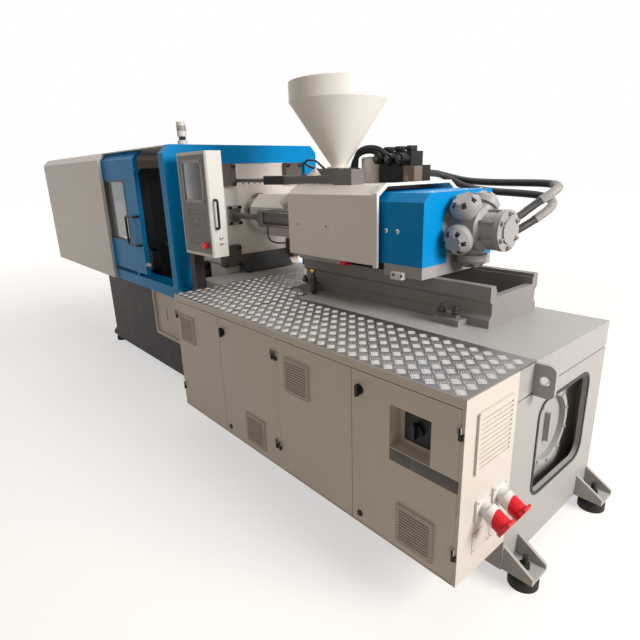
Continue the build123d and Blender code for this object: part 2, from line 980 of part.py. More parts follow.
with BuildPart() as tailstock:
    platen_plate((tail_left, tail_right), bar_radius + slip)
    platen_legs((tail_left, tail_right), bed_top + slip)
    rod_reach = (tail_left - overrun, tail_right + overrun)
    bar_x(piston_rod + slip, rod_reach, axis_y, axis_z, Mode.SUBTRACT)
    for row_z in pin_rows:
        for ear_y in pair(flank_inner, flank_outer):
            block((tail_right, tail_pin_x), ear_y, (row_z - eye_radius, row_z + eye_radius))
            bar_y(eye_radius, tail_pin_x, ear_y, row_z)
        for pin_y in pair(cheek_inner, flank_outer):
            bar_y(pin_radius, tail_pin_x, pin_y, row_z)
save(tailstock, "tailstock")

drive_end_x = tail_pin_x + link_length * cos(radians(open_angle))
yoke_left = drive_end_x + yoke_lead
piston_right = tail_left - cylinder_cap - crosshead_stroke - seam
piston_left = piston_right - piston_depth

with BuildPart() as clamp_cylinder:
    bore_left = piston_left - seam
    bore_right = tail_left - cylinder_cap
    tube_x = (bore_left - cylinder_cap, tail_left)
    bar_x(piston_radius + cylinder_wall, tube_x, axis_y, axis_z)
    for cap_x in ((bore_left - cylinder_cap, bore_left), (bore_right, tail_left)):
        with BuildSketch(end_plane(cap_x[0], axis_y, axis_z)) as cap_face:
            Rectangle(cylinder_cap_side, cylinder_cap_side)
            chamfer(cap_face.vertices(), cylinder_wall)
        extrude(amount=cap_x[1] - cap_x[0])
    bar_x(piston_radius + slip, (bore_left, bore_right), axis_y, axis_z, Mode.SUBTRACT)
    rod_way = (bore_right - overrun, tail_left + overrun)
    bar_x(piston_rod + slip, rod_way, axis_y, axis_z, Mode.SUBTRACT)
save(clamp_cylinder, "clamp_cylinder")


# Toggle links: every link is drawn along its own line at the open position
def link_plates(x, z, turn, length, half, ranges, bores):
    """Plates of one link, from the pivot at x and z, with a bore at each end."""
    way = (cos(radians(turn)), 0, sin(radians(turn)))
    for low_y, high_y in ranges:
        with BuildSketch(Plane(origin=(x, high_y, z), x_dir=way, z_dir=(0, -1, 0))) as plate:
            with Locations((length / 2, 0)):
                SlotCenterToCenter(length, 2 * half)
            for place, radius in zip((0, length), bores):
                if radius:
                    with Locations((place, 0)):
                        Circle(radius, mode=Mode.SUBTRACT)
        extrude(plate.sketch, amount=high_y - low_y)


for side, place in ((1, "upper"), (-1, "lower")):
    row_z = axis_z + side * pin_row
    fold = -side * open_angle
    knee_x = drive_end_x
    knee_z = row_z - side * link_length * sin(radians(open_angle))
    mid_x = (tail_pin_x + knee_x) / 2
    mid_z = (row_z + knee_z) / 2
    end_play = running if side > 0 else open_play
    pin_bore = pin_radius + running
    with BuildPart() as rear_link:
        cheeks = pair(cheek_inner, cheek_outer)
        link_plates(tail_pin_x, row_z, fold, link_length, eye_radius, cheeks, (pin_bore, 0))
        bar_y(drive_pin, mid_x, (axis_y - cheek_outer, axis_y + cheek_outer), mid_z)
        for pin_y in pair(cheek_inner, flank_outer):
            bar_y(pin_radius, knee_x, pin_y, knee_z)
    save(rear_link, f"rear_link_{place}")
    with BuildPart() as front_link:
        flanks = pair(flank_inner, flank_outer)
        front_bores = (pin_bore, pin_radius + end_play)
        link_plates(knee_x, knee_z, -fold, link_length, eye_radius, flanks, front_bores)
    save(front_link, f"front_link_{place}")
    with BuildPart() as drive_link:
        drive_y = ((axis_y - drive_half, axis_y + drive_half),)
        drive_bores = (drive_pin + running, drive_pin + end_play)
        link_plates(mid_x, mid_z, -fold, link_length / 2, drive_eye, drive_y, drive_bores)
    save(drive_link, f"drive_link_{place}")

with BuildPart() as crosshead:
    yoke_y = (axis_y - yoke_outer, axis_y + yoke_outer)
    yoke_z = (pin_rows[0] - drive_eye, pin_rows[1] + drive_eye)
    block((yoke_left, yoke_left + yoke_depth), yoke_y, yoke_z)
    for row_z in pin_rows:
        for arm_y in pair(yoke_inner, yoke_outer):
            block((drive_end_x, yoke_left), arm_y, (row_z - drive_eye, row_z + drive_eye))
            bar_y(drive_eye, drive_end_x, arm_y, row_z)
        bar_y(drive_pin, drive_end_x, yoke_y, row_z)
    bar_x(piston_rod, (piston_left, yoke_left), axis_y, axis_z)
    bar_x(piston_radius, (piston_left, piston_right), axis_y, axis_z)
save(crosshead, "crosshead")

ejector_left = moving_left + seam
ejector_places = [axis_y + side * ejector_rod_pitch / 2 for side in (-1, 1)]

with BuildPart() as moving_platen:
    platen_plate((moving_left, moving_right), bar_radius + slip)
    platen_legs((moving_left, moving_right), bed_top + slip)
    well_y = (axis_y - ejector_half_y - seam, axis_y + ejector_half_y + seam)
    well_z = (axis_z - ejector_half_z - seam, axis_z + ejector_half_z + seam)
    block((moving_left - overrun, moving_left + ejector_well), well_y, well_z, Mode.SUBTRACT)
    for rod_y in ejector_places:
        rod_reach = (moving_left, moving_right + overrun)
        bar_x(ejector_rod + running, rod_reach, rod_y, axis_z, Mode.SUBTRACT)
    with BuildSketch(end_plane(moving_right, axis_y, axis_z)):
        with GridLocations(mould_bolt_pitch, mould_bolt_pitch, 2, 2):
            Circle(mould_bolt)
    extrude(amount=-mould_bolt_depth, mode=Mode.SUBTRACT)
    for row_z in pin_rows:
        for ear_y in pair(cheek_inner, cheek_outer):
            block((platen_pin_x, moving_left), ear_y, (row_z - eye_radius, row_z + eye_radius))
            bar_y(eye_radius, platen_pin_x, ear_y, row_z)
        for pin_y in pair(cheek_inner, flank_outer):
            bar_y(pin_radius, platen_pin_x, pin_y, row_z)
save(moving_platen, "moving_platen")

with BuildPart() as ejector:
    plate_y = (axis_y - ejector_half_y, axis_y + ejector_half_y)
    plate_z = (axis_z - ejector_half_z, axis_z + ejector_half_z)
    block((ejector_left, ejector_left + ejector_depth), plate_y, plate_z)
    for rod_y in ejector_places:
        bar_x(ejector_rod, (ejector_left, moving_right - ejector_set), rod_y, axis_z)
save(ejector, "ejector")

# Guards
with BuildPart() as portal_guard:
    with BuildSketch(end_plane(portal_left, axis_y, 0)):
        outline(guard_profile(guard_half, rail_top, portal_top, corner_cut, corner_cut))
    extrude(amount=portal_depth)
    inner_y = (axis_y - guard_half + portal_leg, axis_y + guard_half - portal_leg)
    inner_x = (portal_left - overrun, portal_right + overrun)
    block(inner_x, inner_y, (rail_top - overrun, portal_top - portal_beam), Mode.SUBTRACT)
save(portal_guard, "portal_guard")

rail_outer = guard_half - cover_wall
with BuildPart() as guard_rails:
    for rail_y in pair(rail_inner, rail_outer):
        block((bed_left - rail_tail, portal_right), rail_y, (bed_top, rail_top))
save(guard_rails, "guard_rails")

with BuildPart() as clamp_cover:
    with BuildSketch(end_plane(cover_left, axis_y, 0)):
        outline(guard_profile(guard_half, bed_top, portal_top, corner_cut, corner_cut))
    extrude(amount=cover_length)
    inner_half = guard_half - cover_wall
    inner_top = portal_top - roof_sheet
    with BuildSketch(end_plane(cover_left + cover_wall, axis_y, 0)):
        inner_low = bed_top - overrun
        outline(guard_profile(inner_half, inner_low, inner_top, corner_cut, corner_cut))
    extrude(amount=cover_length, mode=Mode.SUBTRACT)
    roof_y = (axis_y - guard_half + corner_cut, axis_y + guard_half - corner_cut)
    block((cover_right, portal_left), roof_y, (inner_top, portal_top))
save(clamp_cover, "clamp_cover")


def sliding_door(side):
    """A bent door leaf on two rollers; side is -1 for the operator's side."""
    shoulder = door_top - corner_cut
    leaf = [
        (side * door_outer, door_bottom), (side * door_outer, shoulder),
        (side * (door_outer - corner_cut), door_top),
        (side * (door_inner - corner_cut), door_top),
        (side * door_inner, shoulder), (side * door_inner, door_bottom),
    ]
    with BuildSketch(end_plane(door_left, axis_y, 0)) as section:
        outline(leaf)
    extrude(section.sketch, amount=door_width)
    faces = (axis_y + side * door_outer, axis_y + side * door_inner)
    for roller_x in (door_left + roller_inset, door_right - roller_inset):
        bar_y(roller_radius, roller_x, (min(faces), max(faces)), rail_top + roller_radius + slip)
    for level in (door_bottom + bumper_inset, shoulder - bumper_inset):
        bumper_x = (door_right, door_right + bumper_length)
        bar_x(bumper_radius, bumper_x, (faces[0] + faces[1]) / 2, level)


glass_right = door_right - window_inset
glass_left = glass_right - window_length
glass_z = (window_low + window_high) / 2
door_face = axis_y - door_outer

with BuildPart() as front_door:
    sliding_door(-1)
    pane_x = (glass_left + glass_right) / 2
    with BuildSketch(side_plane(pane_x, axis_y - door_inner, glass_z)):
        RectangleRounded(window_length, window_high - window_low, window_corner)
    extrude(amount=door_thickness + overrun, mode=Mode.SUBTRACT)
save(front_door, "front_door")

with BuildPart() as front_window:
    pane_back = axis_y - (door_outer + door_inner) / 2 + glass / 2
    with BuildSketch(side_plane(pane_x, pane_back, glass_z)):
        RectangleRounded(window_length, window_high - window_low, window_corner)
    extrude(amount=glass)
save(front_window, "front_window")

with BuildPart() as front_handle:
    grip_y = door_face - handle_reach
    near_x = door_right - handle_inset
    far_x = near_x - handle_length
    handle_line = [
        (near_x, door_face, handle_high), (near_x, grip_y, handle_high),
        (far_x, grip_y, handle_high), (far_x, grip_y, handle_low),
        (near_x, grip_y, handle_low), (near_x, door_face, handle_low),
    ]
    with BuildLine() as handle_path:
        FilletPolyline(*handle_line, radius=handle_bend)
    with BuildSketch(side_plane(near_x, door_face, handle_high)):
        Circle(handle_radius)
    sweep(path=handle_path.wires()[0])
save(front_handle, "front_handle")

with BuildPart() as rear_door:
    sliding_door(1)
    pull_y = (axis_y + door_outer, axis_y + door_outer + rear_pull / 2)
    pull_x = (door_right - handle_inset - rear_pull, door_right - handle_inset)
    block(pull_x, pull_y, (handle_low, handle_high))
save(rear_door, "rear_door")

# Control panel on its swivel post
post_x = joint_x + post_inset
post_y = bed_front - post_side / 2
panel_right = post_x + panel_lead
panel_left = panel_right - panel_width
panel_front = axis_y - panel_offset
panel_back = panel_front + panel_depth
panel_x = (panel_left + panel_right) / 2

with BuildPart() as panel_post:
    column_x = (post_x - post_side / 2, post_x + post_side / 2)
    block(column_x, (bed_front - post_side, bed_front), (post_low, panel_low))
    bar_z(spigot_radius, post_x, post_y, (panel_low, panel_low + spigot_height))
save(panel_post, "panel_post")

with BuildPart() as control_panel:
    block((panel_left, panel_right), (panel_front, panel_back), (panel_low, panel_high))
    chamfer(control_panel.edges().filter_by(Axis.Z), panel_edge)
    tray_x = (panel_left + fascia_border, panel_right - fascia_border)
    tray_z = (panel_low + fascia_border, panel_high - fascia_border)
    tray_y = (panel_front - overrun, panel_front + fascia_sheet)
    block(tray_x, tray_y, tray_z, Mode.SUBTRACT)
    spigot_z = (panel_low - overrun, panel_low + spigot_height + slip)
    bar_z(spigot_radius + running, post_x, post_y, spigot_z, Mode.SUBTRACT)
    grip_line = [
        (panel_right, post_y, grip_z + grip_length / 2),
        (panel_right + grip_reach, post_y, grip_z + grip_length / 2),
        (panel_right + grip_reach, post_y, grip_z - grip_length / 2),
        (panel_right, post_y, grip_z - grip_length / 2),
    ]
    with BuildLine() as grip_path:
        FilletPolyline(*grip_line, radius=grip_bend)
    with BuildSketch(end_plane(panel_right, post_y, grip_z + grip_length / 2)):
        Circle(grip_radius)
    sweep(path=grip_path.wires()[0])
save(control_panel, "control_panel")

stop_x = tray_x[1] - stop_inset
stop_z = tray_z[0] + stop_inset
with BuildPart() as panel_fascia:
    block(tray_x, (panel_front, panel_front + fascia_sheet), tray_z)
    screen_top = tray_z[1] - screen_drop
    screen_x = (panel_x - screen_width / 2, panel_x + screen_width / 2)
    screen_y = (panel_front - overrun, panel_front + screen_depth)
    block(screen_x, screen_y, (screen_top - screen_height, screen_top), Mode.SUBTRACT)
    stem_y = (panel_front - overrun, panel_front + fascia_sheet)
    bar_y(stop_neck + running, stop_x, stem_y, stop_z, Mode.SUBTRACT)
save(panel_fascia, "panel_fascia")

with BuildPart() as emergency_stop:
    stem_end = panel_front + fascia_sheet - stop_travel - slip
    cap_front = panel_front - stop_reach
    bar_y(stop_radius, stop_x, (cap_front, cap_front + stop_cap), stop_z)
    bar_y(stop_neck, stop_x, (cap_front, stem_end), stop_z)
save(emergency_stop, "emergency_stop")

tower_y = axis_y - tower_offset
tower_x = (portal_left + portal_right) / 2
neck_z = portal_top + tower_base_height
lens_z = neck_z + tower_neck_height
with BuildPart() as light_tower:
    bar_z(tower_base, tower_x, tower_y, (portal_top, neck_z))
    bar_z(tower_neck, tower_x, tower_y, (neck_z, lens_z))
    bar_z(tower_radius, tower_x, tower_y, (lens_z, portal_top + tower_height))
save(light_tower, "light_tower")

# Slide casting: two waisted sides with ground ways, tied by end walls, on clamp feet
casting_right = unit_x - casting_setback
casting_left = casting_right - casting_length
casting_inner = casting_half - casting_wall

with BuildPart() as slide_casting:
    waist = casting_half - casting_waist
    slope = casting_waist
    foot_z = deck_top + casting_foot
    head_z = casting_top - casting_head
    way_inner = casting_half - way_width
    wall_line = [
        (casting_inner, deck_top), (casting_half, deck_top), (casting_half, foot_z),
        (waist, foot_z + slope), (waist, head_z - slope), (casting_half, head_z),
        (casting_half, casting_top), (casting_half, way_top), (way_inner, way_top),
        (way_inner, casting_top), (casting_inner, casting_top),
    ]
    for side in (-1, 1):
        with BuildSketch(end_plane(casting_left, axis_y, 0)):
            outline([(side * y, z) for y, z in wall_line])
        extrude(amount=casting_length)
    wall_y = (axis_y - casting_inner, axis_y + casting_inner)
    for low_x in (casting_left, casting_right - casting_end):
        block((low_x, low_x + casting_end), wall_y, (deck_top, casting_top - casting_end))
    for share in clamp_shares:
        clamp_x = casting_left + share * casting_length
        foot_x = (clamp_x - clamp_length / 2, clamp_x + clamp_length / 2)
        step_x = (clamp_x - clamp_length / 4, clamp_x + clamp_length / 4)
        for foot_y in pair(casting_half, casting_half + clamp_reach):
            block(foot_x, foot_y, (deck_top, deck_top + clamp_step))
        for step_y in pair(casting_half - casting_waist, casting_half + clamp_reach / 2):
            block(step_x, step_y, (deck_top, deck_top + clamp_height))
save(slide_casting, "slide_casting")

# Carriage: feed block with the injection rams, barrel, covers and hopper
with BuildPart() as feed_block:
    shoulder_z = (axis_z - feed_shoulder, axis_z + feed_shoulder)
    feed_line = [
        (-feed_base_half, shoe_low), (-feed_base_half, shoe_low + feed_base_height),
        (-feed_half, shoulder_z[0]), (-feed_half, shoulder_z[1]), (-feed_top_half, feed_top),
        (feed_top_half, feed_top), (feed_half, shoulder_z[1]), (feed_half, shoulder_z[0]),
        (feed_base_half, shoe_low + feed_base_height), (feed_base_half, shoe_low),
    ]
    with BuildSketch(end_plane(feed_left, axis_y, 0)):
        outline(feed_line)
    extrude(amount=feed_length)
    reach = (feed_left - overrun, feed_right + overrun)
    bar_x(barrel_radius + running, reach, axis_y, axis_z, Mode.SUBTRACT)
    throat = (axis_z + barrel_radius, feed_top + overrun)
    bar_z(throat_radius, hopper_x, axis_y, throat, Mode.SUBTRACT)
    for side in (-1, 1):
        ram_right = feed_right + ram_length
        bar_x(ram_radius, (feed_right, ram_right), axis_y + side * ram_y, axis_z)
        bore_x = (feed_right, ram_right + overrun)
        bar_x(ram_rod + running, bore_x, axis_y + side * ram_y, axis_z, Mode.SUBTRACT)
save(feed_block, "feed_block")

barrel_left = joint_x + barrel_inset
tip_x = platen_left + nozzle_back
with BuildPart() as barrel:
    head_x = barrel_left - barrel_head_length
    barrel_line = [
        (feed_right, barrel_bore + running), (feed_right, barrel_radius),
        (barrel_left, barrel_radius), (barrel_left, barrel_head), (head_x, barrel_head),
        (head_x, nozzle_radius), (tip_x + nozzle_radius, nozzle_radius), (tip_x, nozzle_tip),
        (tip_x, nozzle_orifice), (head_x, nozzle_orifice), (head_x, barrel_bore + running),
    ]
    with BuildSketch(side_plane(0, axis_y, axis_z)):
        outline(barrel_line)
    revolve(axis=mould_axis)
    feed_hole = (axis_z, axis_z + barrel_radius + overrun)
    bar_z(barrel_bore, hopper_x, axis_y, feed_hole, Mode.SUBTRACT)
save(barrel, "barrel")

screw_right = thrust_left
with BuildPart() as screw:
    cone_x = unit_x - screw_tip
    shank_x = feed_right
    screw_line = [
        (cone_x, 0), (cone_x + screw_cone, barrel_bore), (shank_x, barrel_bore),
        (shank_x, screw_shank), (screw_right - coupling_length, screw_shank),
        (screw_right - coupling_length, coupling_radius), (screw_right, coupling_radius),
        (screw_right, 0),
    ]
    with BuildSketch(side_plane(0, axis_y, axis_z)):
        outline(screw_line)
    revolve(axis=mould_axis)
save(screw, "screw")

cover_front = feed_left - cover_sheet
with BuildPart() as injection_cover:
    cover_right_x = unit_x - cover_end
    shell_line = guard_profile(cover_half, cover_low, cover_top, cover_cut_y, cover_cut_z)
    with BuildSketch(end_plane(cover_front, axis_y, 0)):
        outline(shell_line)
    extrude(amount=cover_right_x - cover_front)
    rim_half = cover_half + cover_rim
    rim_top = cover_top + cover_rim
    with BuildSketch(end_plane(cover_right_x - cover_rim_length, axis_y, 0)):
        outline(guard_profile(rim_half, cover_low - cover_rim, rim_top, cover_cut_y, cover_cut_z))
    extrude(amount=cover_rim_length)
    with BuildSketch(end_plane(feed_left, axis_y, 0)):
        room_half = cover_half - cover_sheet
        room_top = cover_top - cover_sheet
        room_low = cover_low - cover_rim - overrun
        outline(guard_profile(room_half, room_low, room_top, cover_cut_y, cover_cut_z))
    extrude(amount=cover_right_x - feed_left + overrun, mode=Mode.SUBTRACT)
    wall_x = (cover_front - overrun, feed_left)
    bar_x(barrel_radius + seam, wall_x, axis_y, axis_z, Mode.SUBTRACT)
    bar_z(throat_radius + seam, hopper_x, axis_y, (feed_top, cover_top + overrun), Mode.SUBTRACT)
save(injection_cover, "injection_cover")

with BuildPart() as barrel_guard:
    with BuildSketch(end_plane(joint_x + guard_inset, axis_y, axis_z)):
        RegularPolygon(guard_flat, 8, major_radius=False, rotation=22.5)
        RegularPolygon(guard_flat - guard_wall, 8, major_radius=False, rotation=22.5, mode=Mode.SUBTRACT)
    extrude(amount=cover_front - joint_x - guard_inset)
save(barrel_guard, "barrel_guard")

seat_x = (hopper_x - seat_left, hopper_x + seat_right)
gate_z = (gate_level, gate_level + gate_sheet)
with BuildPart() as hopper_base:
    seat_y = (axis_y - seat_half, axis_y + seat_half)
    neck_base = hopper_neck_z - hopper_flange_height
    block(seat_x, seat_y, (cover_top, neck_base))
    bar_z(throat_radius, hopper_x, axis_y, (feed_top, cover_top))
    fall = radians(chute_fall)
    swing = radians(chute_swing)
    chute_way = Vector(-cos(fall) * cos(swing), -cos(fall) * sin(swing), -sin(fall))
    chute_top = Vector(hopper_x - chute_shift, axis_y - chute_y, chute_z)
    chute_plane = Plane(origin=chute_top, z_dir=chute_way)
    with BuildSketch(chute_plane):
        Circle(chute_radius)
    extrude(amount=chute_length)
    with BuildSketch(chute_plane.offset(chute_plug)):
        Circle(chute_radius - chute_sheet)
    extrude(amount=chute_length, mode=Mode.SUBTRACT)
    bar_z(barrel_bore, hopper_x, axis_y, (feed_top - overrun, neck_base + overrun), Mode.SUBTRACT)
    slot_y = (axis_y - gate_half - slip, axis_y + gate_half + slip)
    slot_z = (gate_z[0] - slip, gate_z[1] + slip)
    block((seat_x[0] - overrun, hopper_x + gate_half), slot_y, slot_z, Mode.SUBTRACT)
save(hopper_base, "hopper_base")

with BuildPart() as shutter_gate:
    gate_right = hopper_x + gate_half - gate_travel - seam
    gate_left = seat_x[0] - gate_travel - seam
    block((gate_left, gate_right), (axis_y - gate_half, axis_y + gate_half), gate_z)
    loop_z = (gate_z[0] + gate_z[1]) / 2
    loop_line = [
        (gate_left, axis_y - gate_loop, loop_z), (gate_left - gate_reach, axis_y - gate_loop, loop_z),
        (gate_left - gate_reach, axis_y + gate_loop, loop_z), (gate_left, axis_y + gate_loop, loop_z),
    ]
    with BuildLine() as loop_path:
        FilletPolyline(*loop_line, radius=gate_loop - gate_wire / 2)
    with BuildSketch(Plane(origin=loop_line[0], x_dir=(0, 1, 0), z_dir=(-1, 0, 0))):
        Circle(gate_wire)
    sweep(path=loop_path.wires()[0])
save(shutter_gate, "shutter_gate")

with BuildPart() as hopper:
    rim_low = hopper_top - hopper_rim
    flange_low = hopper_neck_z - hopper_flange_height
    hopper_line = [
        (hopper_neck - hopper_sheet, flange_low), (hopper_flange, flange_low),
        (hopper_flange, hopper_neck_z), (hopper_neck, hopper_neck_z),
        (hopper_radius, rim_low), (hopper_radius, hopper_top),
        (hopper_radius - hopper_sheet, hopper_top), (hopper_radius - hopper_sheet, rim_low),
        (hopper_neck - hopper_sheet, hopper_neck_z),
    ]
    with BuildSketch(side_plane(hopper_x, axis_y, 0)):
        outline(hopper_line)
    revolve(axis=Axis((hopper_x, axis_y, 0), (0, 0, 1)))
save(hopper, "hopper")

with BuildPart() as seat_cylinders:
    block_left = hopper_x + upper_block_shift
    with BuildSketch(end_plane(upper_cap_left, upper_rod_y, upper_seat_z)):
        Rectangle(2 * seat_tube, 2 * seat_tube)
    extrude(amount=block_left - upper_cap_left)
    slot_y = (upper_rod_y - seat_tube, upper_rod_y - seat_tube + seat_groove / 2)
    slot_x = (upper_cap_left + upper_cap_length, block_left)
    slot_z = (upper_seat_z - seat_groove / 2, upper_seat_z + seat_groove / 2)
    block(slot_x, slot_y, slot_z, Mode.SUBTRACT)
    with BuildSketch(end_plane(upper_cap_left, upper_rod_y, upper_seat_z)):
        RectangleRounded(2 * upper_cap, 2 * upper_cap, grille_radius)
    extrude(amount=upper_cap_length)
    block_y = (upper_rod_y - upper_block_half, upper_rod_y + upper_block_half)
    block_z = (cover_top, cover_top + upper_block_rise)
    block((block_left, block_left + upper_block_length), block_y, block_z)
    upper_bore = (upper_cap_left - overrun, upper_rod_x[1] + seam)
    bar_x(seat_rod + running, upper_bore, upper_rod_y, upper_seat_z, Mode.SUBTRACT)
    bar_x(lower_tube, (lower_tube_left, cover_front), lower_rod_y, lower_seat_z)
    lower_bore = (lower_tube_left - overrun, lower_rod_x[1] + seam)
    bar_x(lower_rod + running, lower_bore, lower_rod_y, lower_seat_z, Mode.SUBTRACT)
save(seat_cylinders, "seat_cylinders")

with BuildPart() as transducer:
    gauge_right = unit_x - gauge_setback
    gauge_front = axis_y - cover_half + cover_sheet
    gauge_y = (gauge_front, gauge_front + gauge_depth)
    gauge_z = (gauge_low, gauge_low + gauge_height)
    block((gauge_right - gauge_length, gauge_right - gauge_cap), gauge_y, gauge_z)
    cap_y = (gauge_front, gauge_front + gauge_depth + gauge_lip)
    cap_z = (gauge_z[0] - gauge_lip, gauge_z[1] + gauge_lip)
    block((gauge_right - gauge_cap, gauge_right), cap_y, cap_z)
save(transducer, "transducer")

# Injection carriage: thrust plate, hood, star motor and hoses
with BuildPart() as thrust_plate:
    plate_line = guard_profile(thrust_half, plinth_top, thrust_top, hood_cut, hood_cut)
    with BuildSketch(end_plane(thrust_left, axis_y, 0)):
        outline(plate_line)
    extrude(amount=thrust_thickness)
    plinth_x = (plinth_right - plinth_length, plinth_right)
    plinth_y = (axis_y - plinth_half, axis_y + plinth_half)
    block(plinth_x, plinth_y, (shoe_low, plinth_top))
    for side in (-1, 1):
        rod_left = feed_right + ram_length - ram_entry
        bar_x(ram_rod, (rod_left, thrust_left), axis_y + side * ram_y, axis_z)
    slider_x = (plinth_x[0] + slider_length, plinth_x[0] + 2 * slider_length)
    slider_y = (plinth_y[0] - slider_reach, plinth_y[0])
    block(slider_x, slider_y, (plinth_top - slider_width - slider_drop, plinth_top - slider_width))
save(thrust_plate, "thrust_plate")

with BuildPart() as motor_cover:
    hood_left = plinth_right - hood_length
    with BuildSketch(end_plane(hood_left, axis_y, 0)):
        outline(guard_profile(hood_half, plinth_top, hood_top, hood_cut, hood_cut))
    extrude(amount=hood_length)
    with BuildSketch(end_plane(hood_left - overrun, axis_y, 0)):
        room_half = hood_half - hood_sheet
        room_top = hood_top - hood_sheet
        outline(guard_profile(room_half, plinth_top - overrun, room_top, hood_cut, hood_cut))
    extrude(amount=hood_length + overrun - hood_sheet, mode=Mode.SUBTRACT)
    eye_x = (plinth_right - hood_sheet - overrun, plinth_right + overrun)
    bar_x(hood_eye, eye_x, axis_y, axis_z, Mode.SUBTRACT)
    eye_half = (axis_y - star_core - seam, axis_y + star_core + seam)
    block(eye_x, eye_half, (plinth_top - overrun, axis_z), Mode.SUBTRACT)
save(motor_cover, "motor_cover")


def star_plane(turn):
    """The plane through the motor's axis whose normal runs along one cylinder."""
    way = (0, -sin(radians(turn)), cos(radians(turn)))
    return Plane(origin=(star_x, axis_y, axis_z), x_dir=(1, 0, 0), z_dir=way)


with BuildPart() as hydraulic_motor:
    drum_x = unit_x - drum_back
    nose_x = unit_x - valve_end
    core_line = [
        (thrust_right, 0), (thrust_right, star_core), (star_x + star_arm + seam, star_core),
        (drum_x, valve_radius), (valve_x, valve_radius),
        (valve_x, valve_flange), (valve_x + valve_flange_depth, valve_flange),
        (valve_x + valve_flange_depth, valve_nose), (nose_x, valve_nose), (nose_x, 0),
    ]
    with BuildSketch(side_plane(0, axis_y, axis_z)):
        outline(core_line)
    revolve(axis=mould_axis)
    for index in range(star_count):
        spoke = star_plane(star_phase + index * 360 / star_count)
        with BuildSketch(spoke.offset(star_hub)):
            Circle(star_arm)
        extrude(amount=star_arm_length - star_hub)
        head_low = spoke.offset(star_arm_length)
        with BuildSketch(head_low):
            Circle(star_head)
        extrude(amount=star_head_height)
        with Locations(spoke.offset(star_arm_length + star_head_height + star_dome_height / 2)):
            Cone(star_head, star_dome, star_dome_height)
        with BuildSketch(spoke.offset(star_arm_length + star_head_height + star_dome_height)):
            with PolarLocations(star_pocket_out, star_pocket_count):
                Rectangle(star_pocket, star_pocket)
        extrude(amount=star_pocket_floor - star_dome_height, mode=Mode.SUBTRACT)
    port_x = valve_x - port_radius - port_radius / 2
    for port_z in (axis_z - port_rise, axis_z + port_rise):
        bar_y(port_radius, port_x, (axis_y, axis_y + port_reach), port_z)
save(hydraulic_motor, "hydraulic_motor")

# The hoses leave the motor's ports, swing out and back, and end on the manifold's rear face.
# Each point is its distance from the injection end, from the machine axis and above it.
upper_hose = [
    (396, 88.3, 27), (396, 160, 27), (362, 248, 84), (310, 312, 136), (314, 382, 158), (392, 426, 168),
    (520, 440, 170), (680, 442, 172), (820, 440, 180), (920, 420, 205), (977, 370, 227), (977, 200.3, 227),
]
lower_hose = [
    (396, 88.3, -27), (396, 152, -27), (374, 236, 4), (326, 308, 56), (326, 370, 92), (398, 402, 116),
    (520, 412, 124), (670, 412, 131), (800, 405, 150), (888, 386, 194), (933, 340, 227), (933, 200.3, 227),
]


def bend_radii(points):
    """The largest tangent radius that each corner's two runs leave room for."""
    radii = []
    for before, corner, after in zip(points, points[1:], points[2:]):
        run_in = Vector(*corner) - Vector(*before)
        run_out = Vector(*after) - Vector(*corner)
        half_turn = radians(run_in.get_angle(run_out)) / 2
        radii.append(bend_share * min(run_in.length, run_out.length) / tan(half_turn))
    return radii


with BuildPart() as motor_hoses:
    for route in (upper_hose, lower_hose):
        hose = [(unit_x - back, axis_y + side, axis_z + rise) for back, side, rise in route]
        radii = bend_radii(hose)
        with BuildLine() as hose_path:
            FilletPolyline(*hose, radius=radii)
        start_way = Vector(*hose[1]) - Vector(*hose[0])
        with BuildSketch(Plane(origin=hose[0], z_dir=start_way)):
            Circle(hose_radius)
        sweep(path=hose_path.wires()[0])
save(motor_hoses, "motor_hoses")

# Valves and canister on top of the injection cover
manifold_x = (manifold_left, unit_x - manifold_right)
manifold_y = (axis_y + manifold_front, axis_y + manifold_back)
manifold_top = cover_top + manifold_height
with BuildPart() as valve_block:
    block(manifold_x, manifold_y, (cover_top, manifold_top))
    valve_y = (manifold_y[0] + slip, manifold_y[0] + slip + valve_depth)
    for index in range(valve_count):
        low_x = manifold_x[0] + seam + index * valve_pitch
        block((low_x, low_x + valve_width), valve_y, (manifold_top, manifold_top + valve_height))
        coil_z = manifold_top + valve_height / 2
        coil_y = (valve_y[0] - coil_length, valve_y[0])
        bar_y(coil_radius, low_x + valve_width / 2, coil_y, coil_z)
save(valve_block, "valve_block")

with BuildPart() as canister:
    canister_x = hopper_x + canister_gap
    bar_z(canister_radius, canister_x, axis_y + canister_y, (cover_top, cover_top + canister_height))
    fillet(canister.edges().group_by(Axis.Z)[-1], canister_round)
save(canister, "canister")
